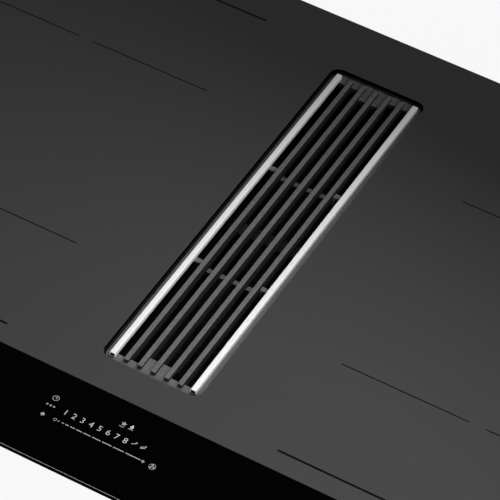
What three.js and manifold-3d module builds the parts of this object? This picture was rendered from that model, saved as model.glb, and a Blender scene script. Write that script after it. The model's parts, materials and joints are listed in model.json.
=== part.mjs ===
// Downdraft induction cooktop for building into a worktop: a glass-ceramic hob with a
// lift-out air grille in the middle, a grease-filter cassette below it, and a radial
// blower in an air box under the hob, blowing out through a flat-duct spigot at the back.
//
// Millimetres, +Z up, front towards -Y. The origin is under the middle of the glass, on
// the plane that the air box stands on. Heights inside the model are measured downwards
// from the glass top, in a group that stands at the overall height.

import * as THREE from 'three';
import { mergeVertices } from 'three/addons/utils/BufferGeometryUtils.js';
import Module from 'manifold-3d';

// ---------------------------------------------------------------------------
// Driving dimensions
// ---------------------------------------------------------------------------

const overallHeight = 199;

const seat = 0.05; // between two pieces that lie on each other
const fit = 0.3; // round a piece that slips into another
const past = 1; // how far a cut runs past a face, and joined solids into each other
const leastCorner = 0.5;
const cornerSteps = 4;
const roundSteps = 24;
const motorSteps = 18;
const pinSteps = 12;
const smallSteps = 6;
const hexagon = 6;

// Glass
const glassWidth = 830;
const glassDepth = 515;
const glassThickness = 4;
const glassCorner = 5;
const glassTopArris = 0.5;
const glassLowerArris = 1.2;
const glassOverhang = 15; // past the steel frame below it

// Air inlet cut out of the glass
const inletWidth = 80.5;
const inletFromFront = 107.8;
const inletFromBack = 53.3;
const inletCorner = 8;

// Cooking zones: two on each side of the inlet, centred over each other
const zonesFromFront = 90;
const zonesFromBack = 30.7;
const zonesFromSide = 84;
const zonesFromMiddle = 105;

// Tape under the glass rim and the steel frame that is glued to the glass
const tapeInset = 2;
const tapeWidth = 8;
const tapeThickness = 2;
const frameFlange = 14;
const frameLeg = 13;
const frameSheet = 1.5;

// Steel tray that holds the induction gear
const trayDepth = 54;
const traySheet = 1.2;
const trayFrontWall = 20;
const trayFrontSlope = 34;
const ventWidth = 5;
const ventPitch = 12;
const ventCount = 6;
const ventAboveFloor = 12;
const ventBelowSlope = 4;

// Air grille
const grilleGap = 1.4;
const grilleDrop = 4.65;
const plateThickness = 1.5;
const plateEndStrip = 8.6;
const plateSideStrip = 8.05;
const plateFlange = 4;
const flangeSheet = 1;
const tabReach = 8.8;
const railWidth = 4.5;
const railHeight = 4;
const railWall = 0.6;
const railRound = 0.8;
const railEndInset = 4.2;
const railSideInset = 3.55;
const bladeCount = 5;
const bladeWidth = 3.7;
const bladePitch = 11.03;
const bladeDrop = 1.4;
const bladeHeight = 9.3;
const bladeEndInset = 4.5;
const bladeEdge = 0.3;
const strapWidth = 4.1;
const strapSpacing = 112.9;
const strapSheet = 1.5;
const strapStub = 3.4;
const strapBend = 2.2;
const sealInset = 1;
const sealWidth = 3;
const sealThickness = 1;

// Filter cassette
const rimThickness = 1.5;
const cassetteSideRoom = 6.25;
const cassetteEndRoom = 6.95;
const cassetteDepth = 105;
const cassetteWall = 1.5;
const cassetteCorner = 3;
const windowCount = 8;
const windowWidth = 32;
const windowHeight = 34;
const windowSill = 8;
const handleWidth = 12;
const handleHeight = 9;
const handleDrop = 17;
const handleFoot = 9.7;
const handleTaper = 6.5;
const handleWaist = 5.4;
const pleatCount = 16;
const pleatHeight = 4;
const pleatSheet = 0.8;
const pleatTop = 36;
const pleatTopGap = 1.5;
const pleatFootSpan = 10;
const dripTrayDepth = 14;
const dripTrayTaper = 4;

// Collar under the glass and the well that the cassette hangs in
const collarFlange = 15;
const collarSheet = 2;
const collarWall = 2.5;
const ledgeClearance = 0.8;
const ledgeThickness = 2;
const wellWidth = 130;
const wellEndRoom = 9;
const wellWall = 2.5;
const wellSlopeStart = 112;
const wellBackSlope = 18;
const wellFlange = 12;
const wellFlangeSheet = 3;
const wellRibs = 5;
const wellRib = 3;

// Air box under the well and the blower
const airBoxTop = 150;
const airBoxWall = 2.5;
const airBoxFrontSlope = 42;
const airBoxMargin = 18;
const footHeight = 3;
const footWidth = 8;
const serviceLidWidth = 84;
const serviceLidLength = 190;
const lidSheet = 2.5;
const lidRim = 6;
const lidPlugWall = 1.5;

// Blower
const impellerRadius = 80;
const impellerEye = 62;
const impellerHeight = 70;
const impellerBlades = 24;
const impellerSheet = 1.5;
const impellerBladeFrom = -130;
const impellerBladeTo = -15;
const impellerBladeSteps = 3;
const impellerCupRound = 6;
const impellerCupDraft = 3;
const scrollRoom = 8;
const scrollGrowth = 42;
const scrollTongue = 40;
const scrollWall = 2.5;
const scrollTop = 62;
const scrollBasePlate = 3;
const scrollSteps = 26;
const blowerToOutlet = 180;
const bellGap = 1;
const bellFlare = 6.4;
const bellRise = 6.4;
const wellToScroll = 2;
const diffuserStraight = 12;
const motorRadius = 45;
const motorHeight = 40;
const motorFlangeRadius = 58;
const motorFlangeSheet = 3;
const motorGap = 1;
const motorCanWall = 3;
const motorCanRound = 5;
const motorCoreGap = 2;
const motorNeck = 8;
const shaftRadius = 4;
const mountRingWidth = 12;

// Outlet spigot for flat duct 222 x 89
const outletFromBack = 57.5;
const outletToWell = 22.875;
const outletWidth = 218;
const outletHeight = 85;
const outletCorner = 10;
const outletLength = 50;
const outletWall = 2.5;
const outletFlange = 6;
const flapPinRadius = 2.5;
const flapPinSetback = 9;
const flapSheet = 1.6;
const knuckleWall = 1.8;
const knuckleLength = 16;
const knuckleGap = 1.6;
const knuckleInset = 31;
const flapSideGap = 1.6;

// Induction gear
const coilRowGap = 16.3;
const coilTurns = 5;
const coilSteps = 12;
const coilTop = 7;
const coilThickness = 3;
const coilHole = 52;
const coilGap = 2.5;
const coilSquareness = 0.6;
const formerThickness = 3;
const formerMargin = 4;
const formerCorner = 35;
const ferriteThickness = 4;
const ferriteWidth = 12;
const ferriteInnerGap = 3;
const ferriteOuterGap = 1;
const ferriteCount = 8;
const coilPlateRim = 9;
const coilPlateCorner = 6;
const coilPlateSheet = 1.5;
const coilPlateHole = 2;
const sensorRadius = 7;
const sensorRound = 2;
const sensorRise = 1.5;
const postRadius = 4;
const boardWidth = 165;
const boardLength = 180;
const boardSheet = 1.6;
const boardStandoff = 6;
const boardFromBack = 152.5;
const standoffRadius = 3;
const standoffInset = 8;
const leadDepth = 0.5; // of a component's foot in the board
const chokeRadius = 14;
const chokeHeight = 16;
const chokeInsetX = 30.5;
const chokeInsetY = 32;
const capacitorRadius = 10;
const capacitorHeight = 18;
const capacitorCount = 3;
const capacitorPitch = 26;
const capacitorInsetX = 28.5;
const capacitorInsetY = 30;
const relayWidth = 28;
const relayDepth = 16;
const relayHeight = 14;
const relayCount = 2;
const relayPitch = 24;
const relayInsetX = 30.5;
const relayInsetY = 28;
const sinkWidth = 62;
const sinkLength = 120;
const sinkHeight = 18;
const sinkFins = 9;
const sinkFin = 1.6;
const sinkBase = 3;
const fanSize = 80;
const fanThickness = 18;
const fanToBoard = 180;
const fanRim = 3;
const fanCorner = 6;
const fanHubRadius = 16;
const fanSpoke = 4;
const fanSpokeSheet = 2;
const fanSpokes = 4;
const fanBlades = 7;
const fanBladeSweep = 14;
const fanBladeSheet = 1.4;
const fanBladeGap = 1;
const fanRotorDrop = 5;
const fanTipGap = 1.8;
const touchWidth = 310;
const touchDepth = 34;
const touchSetback = 49.5;
const touchCorner = 2;
const touchRim = 2;
const touchCarrierHeight = 8;
const touchCarrierFloor = 1.5;
const touchKeys = 11;
const touchKeyRadius = 3;
const touchKeyPitch = 12.5;
const touchKeySetback = 6;

// Mains terminal box at the back left and hold-down springs
const terminalWidth = 92;
const terminalDepth = 58;
const terminalHeight = 30;
const terminalFromSide = 98.2;
const terminalFromBack = 10;
const terminalWall = 2.5;
const terminalLid = 5;
const glandDrop = 12.6;
const glandRadius = 11;
const glandDomeRadius = 9.35;
const glandBoreRadius = 6.8;
const glandNut = 6.4;
const glandLength = 16;
const springWidth = 26;
const springLength = 34;
const springKnee = 6.8;
const springCrest = 21;
const springReach = 4;
const springTip = 1;
const springSheet = 0.8;

// ---------------------------------------------------------------------------
// Levels and places that follow from them
// ---------------------------------------------------------------------------

const front = -glassDepth / 2;
const back = glassDepth / 2;
const glassUnderside = -glassThickness;
const inletLength = glassDepth - inletFromFront - inletFromBack;
const inletY = back - inletFromBack - inletLength / 2;
const zoneCentreY = (front + zonesFromFront + back - zonesFromBack) / 2;

const plateWidth = inletWidth - 2 * grilleGap;
const plateLength = inletLength - 2 * grilleGap;
const plateTop = -grilleDrop;
const plateUnderside = plateTop - plateThickness;
const plateOpening = plateWidth - 2 * plateSideStrip;
const plateOpeningLength = plateLength - 2 * plateEndStrip;
const bladeUnderside = -bladeDrop - bladeHeight;
const tabHalfWidth = bladePitch + bladeWidth / 2;

const rimTop = plateUnderside - sealThickness - 2 * seat;
const rimUnderside = rimTop - rimThickness;
const ledgeTop = rimUnderside - seat;
const ledgeUnderside = ledgeTop - ledgeThickness;
const cassetteWidth = inletWidth - 2 * cassetteSideRoom;
const cassetteLength = inletLength - 2 * cassetteEndRoom;
const wellTop = glassUnderside - collarSheet - 2 * seat;
const wellLength = inletLength + 2 * (collarWall + wellEndRoom);
const wellFront = inletY - wellLength / 2;
const wellBack = inletY + wellLength / 2;
const wellMouthFront = wellFront + airBoxTop - wellSlopeStart;
const wellMouthBack = wellBack - wellBackSlope;

const airBoxFloor = -overallHeight + footHeight;
const airBoxLeft = -wellWidth / 2;
const lidY = (wellMouthFront + airBoxFrontSlope + wellMouthBack) / 2;

const frameWidth = glassWidth - 2 * glassOverhang;
const frameDepth = glassDepth - 2 * glassOverhang;
const frameCorner = frameSheet + fit;
const frameTop = glassUnderside - seat;
const trayTop = frameTop - frameSheet - seat;
const trayWidth = frameWidth - 2 * (frameSheet + fit);
const trayLength = frameDepth - 2 * (frameSheet + fit);
const trayFloor = -trayDepth + traySheet;
const trayWellHole = wellWidth / 2 + fit;
const ventLow = -trayDepth + ventAboveFloor;
const ventHigh = -trayFrontWall - ventBelowSlope;
const terminalX = -trayWidth / 2 + terminalFromSide;
const glandZ = -trayDepth - glandDrop;

const coilPlateWidth = glassWidth / 2 - zonesFromSide - zonesFromMiddle;
const coilPlateLength = glassDepth - zonesFromFront - zonesFromBack;
const coilWidth = coilPlateWidth - 2 * (formerMargin + coilPlateRim);
const coilDepth = (coilPlateLength - coilRowGap) / 2 - formerMargin - coilPlateRim;
const zonePitchX = coilPlateWidth + 2 * zonesFromMiddle;
const zonePitchY = coilDepth + coilRowGap;
const coilUnderside = -coilTop - coilThickness;
const formerUnderside = coilUnderside - seat - formerThickness;
const ferriteUnderside = formerUnderside - ferriteThickness;
const coilPlateTop = ferriteUnderside - seat;
const coilPlateUnderside = coilPlateTop - coilPlateSheet;
const boardTop = trayFloor + boardStandoff + boardSheet;
const boardY = back - boardFromBack;
const fanX = zonePitchX / 2;
const fanY = boardY - fanToBoard;
const fanBore = fanSize / 2 - fanRim;
const touchY = front + touchSetback;

const outletY = back - outletFromBack;
const blowerY = outletY - blowerToOutlet;
const scrollBase = impellerRadius + scrollRoom;
const scrollWest = scrollBase + scrollGrowth * (180 - scrollTongue) / (360 - scrollTongue) + scrollWall;
const blowerX = wellWidth / 2 + wellToScroll + scrollWest;
const scrollUnderside = -airBoxTop + scrollBasePlate + seat;
const outletX = wellWidth / 2 + outletToWell + outletWidth / 2;
const outletRight = outletX + outletWidth / 2 + scrollWall;
const outletZ = (-scrollTop - airBoxTop) / 2;
const impellerTop = -scrollTop - scrollWall - scrollRoom;
const impellerUnderside = impellerTop - impellerHeight;
const flapY = outletY + flapPinSetback;
const airBoxRight = blowerX + impellerEye + airBoxMargin;

const sides = [['left', -1], ['right', 1]];

// ---------------------------------------------------------------------------
// Finishes
// ---------------------------------------------------------------------------

function finish(color, roughness, metalness = 0) {
  return new THREE.MeshStandardMaterial({ color, roughness, metalness });
}

const ceramicGlass = finish(0x303032, 0.45);
const powderCoat = finish(0x5a5a5a, 0.7, 0.3);
const anodised = finish(0xd8d8d6, 0.35, 0.9);
const blackPlastic = finish(0x1b1b1d, 0.6);
const greyPlastic = finish(0x4a4c50, 0.6);
const blackSteel = finish(0x222224, 0.5, 0.6);
const galvanised = finish(0xa4a7a9, 0.45, 0.9);
const stainless = finish(0xb9bbbd, 0.3, 1);
const aluminium = finish(0xc4c6c8, 0.4, 0.95);
const copper = finish(0xb4623a, 0.4, 0.9);
const ferrite = finish(0x3a3a3c, 0.8);
const circuitBoard = finish(0x1f5a38, 0.55);
const rubber = finish(0x151515, 0.85);

// ---------------------------------------------------------------------------
// Outlines and solids
// ---------------------------------------------------------------------------

const wasm = await Module();
wasm.setup();

const point = (x, y) => new THREE.Vector2(x, y);

function arc(x, y, radius, from, to, steps) {
  return Array.from({ length: steps + 1 }, (_, i) => {
    const angle = THREE.MathUtils.degToRad(from + ((to - from) * i) / steps);
    return point(x + radius * Math.cos(angle), y + radius * Math.sin(angle));
  });
}

function circle(x, y, radius, steps = roundSteps) {
  return arc(x, y, radius, 0, 360, steps).slice(0, steps);
}

function rectangle(left, right, low, high) {
  return [point(left, low), point(right, low), point(right, high), point(left, high)];
}

function roundedRect(width, height, radius, x = 0, y = 0) {
  const dx = width / 2 - radius;
  const dy = height / 2 - radius;
  return [
    ...arc(x + dx, y + dy, radius, 0, 90, cornerSteps),
    ...arc(x - dx, y + dy, radius, 90, 180, cornerSteps),
    ...arc(x - dx, y - dy, radius, 180, 270, cornerSteps),
    ...arc(x + dx, y - dy, radius, 270, 360, cornerSteps),
  ];
}

// Outline moved inwards by a distance, with mitred corners; a negative distance grows it.
function inset(outline, distance) {
  const turn = THREE.ShapeUtils.isClockWise(outline) ? -1 : 1;
  return outline.map((here, i) => {
    const before = outline[(i + outline.length - 1) % outline.length];
    const after = outline[(i + 1) % outline.length];
    const inEdge = here.clone().sub(before).normalize();
    const outEdge = after.clone().sub(here).normalize();
    const inNormal = point(-inEdge.y, inEdge.x).multiplyScalar(turn);
    const outNormal = point(-outEdge.y, outEdge.x).multiplyScalar(turn);
    const mitre = inNormal.clone().add(outNormal);
    return here.clone().addScaledVector(mitre, (2 * distance) / mitre.lengthSq());
  });
}

// Strip of sheet in section: an open path and its copy one thickness to the left.
function band(path, thickness) {
  const last = path.length - 1;
  const shifted = path.map((here, i) => {
    const inEdge = (i > 0 ? here.clone().sub(path[i - 1]) : path[1].clone().sub(here)).normalize();
    const outEdge = i < last ? path[i + 1].clone().sub(here).normalize() : inEdge;
    const mitre = point(-inEdge.y - outEdge.y, inEdge.x + outEdge.x);
    return here.clone().addScaledVector(mitre, (2 * thickness) / mitre.lengthSq());
  });
  return [...path, ...shifted.reverse()];
}

// Mesh with shared corners, no collapsed triangles and its faces pointing out.
function clean(geometry) {
  geometry.deleteAttribute('normal');
  geometry.deleteAttribute('uv');
  const merged = mergeVertices(geometry, 1e-4);
  const corners = merged.index.array;
  const kept = [];
  let volume = 0;
  const at = (i) => new THREE.Vector3().fromBufferAttribute(merged.attributes.position, i);
  for (let i = 0; i < corners.length; i += 3) {
    const [a, b, c] = [corners[i], corners[i + 1], corners[i + 2]];
    if (a === b || b === c || c === a) continue;
    kept.push(a, b, c);
    volume += at(a).dot(at(b).cross(at(c)));
  }
  merged.setIndex(volume < 0 ? kept.reverse() : kept);
  return merged;
}

function manifoldOf(geometry) {
  const tidy = clean(geometry.clone());
  return new wasm.Manifold(new wasm.Mesh({
    numProp: 3,
    vertProperties: new Float32Array(tidy.attributes.position.array),
    triVerts: new Uint32Array(tidy.index.array),
  }));
}

function geometryOf(solid) {
  const { vertProperties, triVerts } = solid.getMesh();
  const geometry = new THREE.BufferGeometry();
  geometry.setAttribute('position', new THREE.BufferAttribute(vertProperties, 3));
  geometry.setIndex(new THREE.BufferAttribute(triVerts, 1));
  return geometry;
}

function join(...parts) {
  return geometryOf(parts.map(manifoldOf).reduce((whole, part) => whole.add(part)));
}

function cut(base, ...tools) {
  return geometryOf(tools.map(manifoldOf).reduce((rest, tool) => rest.subtract(tool), manifoldOf(base)));
}

// Outline in the X-Y plane, raised from low to high.
function prism(outline, low, high, holes = []) {
  const shape = new THREE.Shape(outline);
  shape.holes = holes.map((hole) => new THREE.Path(hole));
  const geometry = new THREE.ExtrudeGeometry(shape, { depth: high - low, bevelEnabled: false });
  return clean(geometry.translate(0, 0, low));
}

const xAxis = new THREE.Vector3(1, 0, 0);
const yAxis = new THREE.Vector3(0, 1, 0);
const zAxis = new THREE.Vector3(0, 0, 1);

// Outline in the Y-Z plane, drawn out along X.
function alongX(outline, from, to, holes = []) {
  const turned = new THREE.Matrix4().makeBasis(yAxis, zAxis, xAxis);
  return prism(outline, from, to, holes).applyMatrix4(turned);
}

// Outline in the X-Z plane, drawn out along Y.
function alongY(outline, from, to, holes = []) {
  const turned = new THREE.Matrix4().makeBasis(xAxis, zAxis, yAxis.clone().negate());
  return prism(outline, -to, -from, holes).applyMatrix4(turned);
}

function block(left, right, front, back, low, high) {
  return prism(rectangle(left, right, front, back), low, high);
}

// Closed profile of [radius, height] pairs turned about a vertical axis.
function revolve(profile, x = 0, y = 0, steps = roundSteps) {
  const points = profile.map(([radius, height]) => point(radius, height));
  const geometry = new THREE.LatheGeometry(points, steps);
  return clean(geometry.rotateX(Math.PI / 2).translate(x, y, 0));
}

function cylinder(radius, low, high, x = 0, y = 0, steps = roundSteps) {
  return prism(circle(x, y, radius, steps), low, high);
}

// Outlines of equal point count stacked at rising heights and capped at both ends.
function loft(levels) {
  const count = levels[0].outline.length;
  const positions = levels.flatMap(({ outline, z }) => outline.flatMap(({ x, y }) => [x, y, z]));
  const faces = [];
  for (let level = 0; level + 1 < levels.length; level += 1) {
    for (let i = 0; i < count; i += 1) {
      const a = level * count + i;
      const b = level * count + ((i + 1) % count);
      faces.push(a, b, b + count, a, b + count, a + count);
    }
  }
  const lid = (levels.length - 1) * count;
  THREE.ShapeUtils.triangulateShape(levels[0].outline, []).forEach(([a, b, c]) => {
    faces.push(c, b, a, lid + a, lid + b, lid + c);
  });
  const geometry = new THREE.BufferGeometry();
  geometry.setAttribute('position', new THREE.Float32BufferAttribute(positions, 3));
  geometry.setIndex(faces);
  return clean(geometry);
}

function part(name, geometry, material) {
  const mesh = new THREE.Mesh(geometry, material);
  mesh.name = name;
  return mesh;
}

// ---------------------------------------------------------------------------
// Glass, tape and frame
// ---------------------------------------------------------------------------

function inletOutline(clearance) {
  return roundedRect(
    inletWidth - 2 * clearance,
    inletLength - 2 * clearance,
    Math.max(inletCorner - clearance, leastCorner),
    0,
    inletY,
  );
}

function glassPanel() {
  const edge = (arris) =>
    roundedRect(glassWidth - 2 * arris, glassDepth - 2 * arris, glassCorner - arris);
  const slab = loft([
    { outline: edge(glassLowerArris), z: glassUnderside },
    { outline: edge(0), z: glassUnderside + glassLowerArris },
    { outline: edge(0), z: -glassTopArris },
    { outline: edge(glassTopArris), z: 0 },
  ]);
  const mouth = prism(inletOutline(0), glassUnderside - past, past);
  return part('glass_panel', cut(slab, mouth), ceramicGlass);
}

function worktopTape() {
  const top = glassUnderside - seat;
  const ring = (shift) => roundedRect(glassWidth - 2 * shift, glassDepth - 2 * shift, glassCorner);
  const tape = prism(ring(tapeInset), top - tapeThickness, top, [ring(tapeInset + tapeWidth)]);
  return part('worktop_tape', tape, rubber);
}

function glassFrame() {
  const plan = (shift) => roundedRect(frameWidth - 2 * shift, frameDepth - 2 * shift,
    frameCorner - Math.min(shift, frameSheet));
  const flange = prism(plan(0), frameTop - frameSheet, frameTop, [plan(frameFlange)]);
  const leg = prism(plan(0), frameTop - frameLeg, frameTop, [plan(frameSheet)]);
  return part('glass_frame', join(flange, leg), blackSteel);
}

// ---------------------------------------------------------------------------
// Steel tray with its vents, springs, screws and terminal box
// ---------------------------------------------------------------------------

// Side view of the tray, whose front leans back under the control strip.
function traySection() {
  const halfLength = trayLength / 2;
  return [
    point(-halfLength, trayTop),
    point(-halfLength, -trayFrontWall),
    point(-halfLength + trayFrontSlope, -trayDepth),
    point(halfLength, -trayDepth),
    point(halfLength, trayTop),
  ];
}

function traySlots() {
  const spread = ((ventCount - 1) * ventPitch) / 2;
  return sides.flatMap(([, side]) => Array.from({ length: ventCount }, (_, i) => {
    const middle = fanX * side - spread + i * ventPitch;
    const [left, right] = [middle - ventWidth / 2, middle + ventWidth / 2];
    return [
      block(left, right, fanY - fanSize / 2, fanY + fanSize / 2, -trayDepth - past, trayFloor + past),
      block(left, right, trayLength / 2 - 2 * traySheet, trayLength / 2 + past, ventLow, ventHigh),
    ];
  }).flat());
}

function hobTray() {
  const outer = traySection();
  const [, frontCorner, frontFoot, backFoot] = inset(outer, traySheet);
  const hollow = [
    point(frontCorner.x, 0),
    frontCorner,
    frontFoot,
    backFoot,
    point(backFoot.x, 0),
  ];
  const shell = cut(
    alongX(outer, -trayWidth / 2, trayWidth / 2),
    alongX(hollow, -trayWidth / 2 + traySheet, trayWidth / 2 - traySheet),
    block(-trayWellHole, trayWellHole, wellFront - fit, wellBack + fit,
      -trayDepth - past, trayFloor + past),
    ...traySlots(),
  );
  const posts = sides.flatMap(([, side]) => postPlaces(side)).map(([x, y]) =>
    cylinder(postRadius, trayFloor - traySheet / 2, coilPlateUnderside - seat, x, y, smallSteps));
  return part('hob_tray', join(shell, ...posts), galvanised);
}

// Leaf spring that grips the side of the worktop cut-out.
function holdDownSpring(name, side, end) {
  const wall = (frameWidth / 2 + seat) * side;
  const top = frameTop - frameSheet;
  const path = [
    point(wall, top),
    point(wall, top - springKnee),
    point(wall + side * springReach, top - springCrest),
    point(wall + side * springTip, top - springLength),
  ];
  const middle = (end * frameDepth) / 4;
  const leaf = band(path, side * springSheet);
  return part(name, alongY(leaf, middle - springWidth / 2, middle + springWidth / 2), stainless);
}

function holdDownSprings() {
  return sides.flatMap(([name, side]) => [['front', -1], ['back', 1]].map(([row, end]) =>
    holdDownSpring(`hold_down_spring_${row}_${name}`, side, end)));
}

function terminalBox() {
  const [left, right] = [terminalX - terminalWidth / 2, terminalX + terminalWidth / 2];
  const rear = trayLength / 2 - terminalFromBack;
  const top = -trayDepth - seat;
  const low = top - terminalHeight + terminalLid;
  const shell = cut(
    block(left, right, rear - terminalDepth, rear, low, top),
    block(left + terminalWall, right - terminalWall, rear - terminalDepth + terminalWall,
      rear - terminalWall, low - past, top - terminalWall),
    glandBore(rear - 2 * terminalWall, rear + past),
  );
  return part('terminal_box', shell, greyPlastic);
}

function terminalCover() {
  const [left, right] = [terminalX - terminalWidth / 2, terminalX + terminalWidth / 2];
  const rear = trayLength / 2 - terminalFromBack;
  const low = -trayDepth - seat - terminalHeight;
  const lid = low + terminalLid - seat;
  const lip = block(left + terminalWall + fit, right - terminalWall - fit,
    rear - terminalDepth + terminalWall + fit, rear - terminalWall - fit, lid - past,
    lid + terminalWall);
  return part('terminal_cover', join(block(left, right, rear - terminalDepth, rear, low, lid), lip),
    greyPlastic);
}

function glandBore(from, to) {
  return alongY(circle(terminalX, glandZ, glandBoreRadius, pinSteps), from, to);
}

function cableGland() {
  const rear = trayLength / 2 - terminalFromBack + seat;
  const nut = alongY(circle(terminalX, glandZ, glandRadius, hexagon), rear, rear + glandNut);
  const dome = alongY(circle(terminalX, glandZ, glandDomeRadius, pinSteps), rear, rear + glandLength);
  return part('cable_gland', cut(join(nut, dome), glandBore(rear - past, rear + glandLength + past)),
    blackPlastic);
}

// ---------------------------------------------------------------------------
// Air grille: a folded plate, two hollow rails, five blades on dipped cross straps
// ---------------------------------------------------------------------------

// Opening of the plate, with a tab reaching in from each end under the middle blades.
function plateOpeningOutline(grow = 0) {
  const x = plateOpening / 2;
  const y = plateOpeningLength / 2;
  const tip = y - tabReach;
  const outline = [
    point(-x, -y), point(-tabHalfWidth, -y), point(-tabHalfWidth, -tip),
    point(tabHalfWidth, -tip), point(tabHalfWidth, -y), point(x, -y),
    point(x, y), point(tabHalfWidth, y), point(tabHalfWidth, tip),
    point(-tabHalfWidth, tip), point(-tabHalfWidth, y), point(-x, y),
  ].map(({ x: px, y: py }) => point(px, py + inletY));
  return grow ? inset(outline, -grow) : outline;
}

// Strap that crosses the plate opening and dips under the blades.
function crossStrap(y) {
  const end = plateOpening / 2 + past;
  const stub = plateOpening / 2 - strapStub;
  const dip = stub - strapBend;
  const low = bladeUnderside - seat;
  const path = [
    point(end, plateTop), point(stub, plateTop), point(dip, low),
    point(-dip, low), point(-stub, plateTop), point(-end, plateTop),
  ];
  return alongY(band(path, strapSheet), y - strapWidth / 2, y + strapWidth / 2);
}

function grilleFrame() {
  const plate = prism(inletOutline(grilleGap), plateUnderside, plateTop, [plateOpeningOutline()]);
  const flange = prism(plateOpeningOutline(flangeSheet), plateUnderside - plateFlange,
    plateUnderside + flangeSheet, [plateOpeningOutline()]);
  const straps = [-1, 1].map((end) => crossStrap(inletY + (end * strapSpacing) / 2));
  return part('grille_frame', join(plate, flange, ...straps), powderCoat);
}

// Thin ring that the plate rests on, inside the rim of the cassette.
function grilleSeal() {
  const top = plateUnderside - seat;
  const outer = inletOutline(grilleGap + sealInset);
  const inner = inletOutline(grilleGap + sealInset + sealWidth);
  return part('grille_seal', prism(outer, top - sealThickness, top, [inner]), rubber);
}

function grilleRail(name, side) {
  const middle = side * (plateWidth / 2 - railSideInset - railWidth / 2);
  const low = plateTop + seat;
  const top = low + railHeight;
  const [left, right] = [middle - railWidth / 2, middle + railWidth / 2];
  const outer = [
    point(left, low), point(right, low),
    ...arc(right - railRound, top - railRound, railRound, 0, 90, cornerSteps),
    ...arc(left + railRound, top - railRound, railRound, 90, 180, cornerSteps),
  ];
  const bore = rectangle(left + railWall, right - railWall, low + railWall, top - railWall);
  const reach = plateLength / 2 - railEndInset;
  return part(name, alongY(outer, inletY - reach, inletY + reach, [bore]), anodised);
}

// Blade notched at both ends, where it lies on the plate or on its tab.
function grilleBlade(index) {
  const x = (index - (bladeCount - 1) / 2) * bladePitch;
  const overTab = Math.abs(x) < tabHalfWidth;
  const reach = plateLength / 2 - bladeEndInset;
  const shoulder = plateOpeningLength / 2 - (overTab ? tabReach : 0) - fit;
  const rest = plateTop + seat;
  const outline = [
    point(-reach, -bladeDrop), point(-reach, rest), point(-shoulder, rest),
    point(-shoulder, bladeUnderside), point(shoulder, bladeUnderside),
    point(shoulder, rest), point(reach, rest), point(reach, -bladeDrop),
  ].map(({ x: along, y: height }) => point(along + inletY, height));
  const shape = new THREE.Shape(inset(outline, bladeEdge));
  const bevelled = new THREE.ExtrudeGeometry(shape, {
    depth: bladeWidth - 2 * bladeEdge,
    bevelThickness: bladeEdge,
    bevelSize: bladeEdge,
    bevelSegments: 1,
  });
  bevelled.translate(0, 0, bladeEdge - bladeWidth / 2);
  bevelled.applyMatrix4(new THREE.Matrix4().makeBasis(yAxis, zAxis, xAxis));
  return part(`grille_blade_${index + 1}`, clean(bevelled).translate(x, 0, 0), powderCoat);
}

function airGrille() {
  const group = new THREE.Group();
  group.add(grilleFrame(), grilleSeal());
  sides.forEach(([name, side]) => group.add(grilleRail(`grille_rail_${name}`, side)));
  for (let i = 0; i < bladeCount; i += 1) group.add(grilleBlade(i));
  return group;
}

// ---------------------------------------------------------------------------
// Grease-filter cassette that hangs in the collar
// ---------------------------------------------------------------------------

function cassettePlan(shrink) {
  return roundedRect(cassetteWidth - 2 * shrink, cassetteLength - 2 * shrink,
    Math.max(cassetteCorner - shrink, cassetteWall / 2), 0, inletY);
}

function cassetteWindows() {
  const bar = (cassetteLength - 2 * cassetteCorner - windowCount * windowWidth) / (windowCount + 1);
  const low = -cassetteDepth + windowSill;
  return Array.from({ length: windowCount }, (_, i) => {
    const start = inletY - cassetteLength / 2 + cassetteCorner + bar + i * (windowWidth + bar);
    return block(-cassetteWidth, cassetteWidth, start, start + windowWidth, low, low + windowHeight);
  });
}

function cassetteFrame() {
  const rim = prism(inletOutline(grilleGap), rimUnderside, rimTop);
  const body = prism(cassettePlan(0), -cassetteDepth, rimUnderside + rimThickness / 2);
  const bore = prism(cassettePlan(cassetteWall), -cassetteDepth - past, rimTop + past);
  return part('cassette_frame', cut(join(rim, body), bore, ...cassetteWindows()), blackPlastic);
}

// Grip bar across the cassette, thinner at its ends than in the middle.
function cassetteHandle() {
  const half = cassetteWidth / 2 - cassetteWall - seat;
  const top = -handleDrop;
  const foot = half - handleFoot;
  const waist = foot - handleTaper;
  const side = [
    point(-half, top), point(-half, top - handleHeight), point(-foot, top - handleHeight),
    point(-waist, top - handleWaist), point(waist, top - handleWaist),
    point(foot, top - handleHeight), point(half, top - handleHeight), point(half, top),
  ];
  return part('cassette_handle', alongY(side, inletY - handleWidth / 2, inletY + handleWidth / 2),
    blackPlastic);
}

// Pleated metal mesh, leaning in towards the foot of the cassette.
function greaseFilter(name, side) {
  const length = cassetteLength - 2 * cassetteWall - 2 * fit - 2 * cassetteCorner;
  const halfTop = cassetteWidth / 2 - cassetteWall - pleatTopGap - pleatHeight;
  const drop = cassetteDepth - pleatTop - pleatHeight;
  const run = halfTop - pleatFootSpan / 2;
  const lean = Math.atan2(run, drop);
  const ridge = Array.from({ length: 2 * pleatCount + 1 }, (_, i) =>
    point(-length / 2 + (i * length) / (2 * pleatCount), i % 2 ? pleatHeight : 0));
  const under = ridge.map(({ x, y }) => point(x, y - pleatSheet)).reverse();
  const outline = [...ridge, ...under].map(({ x, y }) => point(side * y, x));
  const mesh = part(name, prism(outline, 0, Math.hypot(run, drop)), stainless);
  mesh.rotation.y = side * lean;
  mesh.position.set(side * pleatFootSpan / 2, inletY, -cassetteDepth + pleatHeight);
  return mesh;
}

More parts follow.
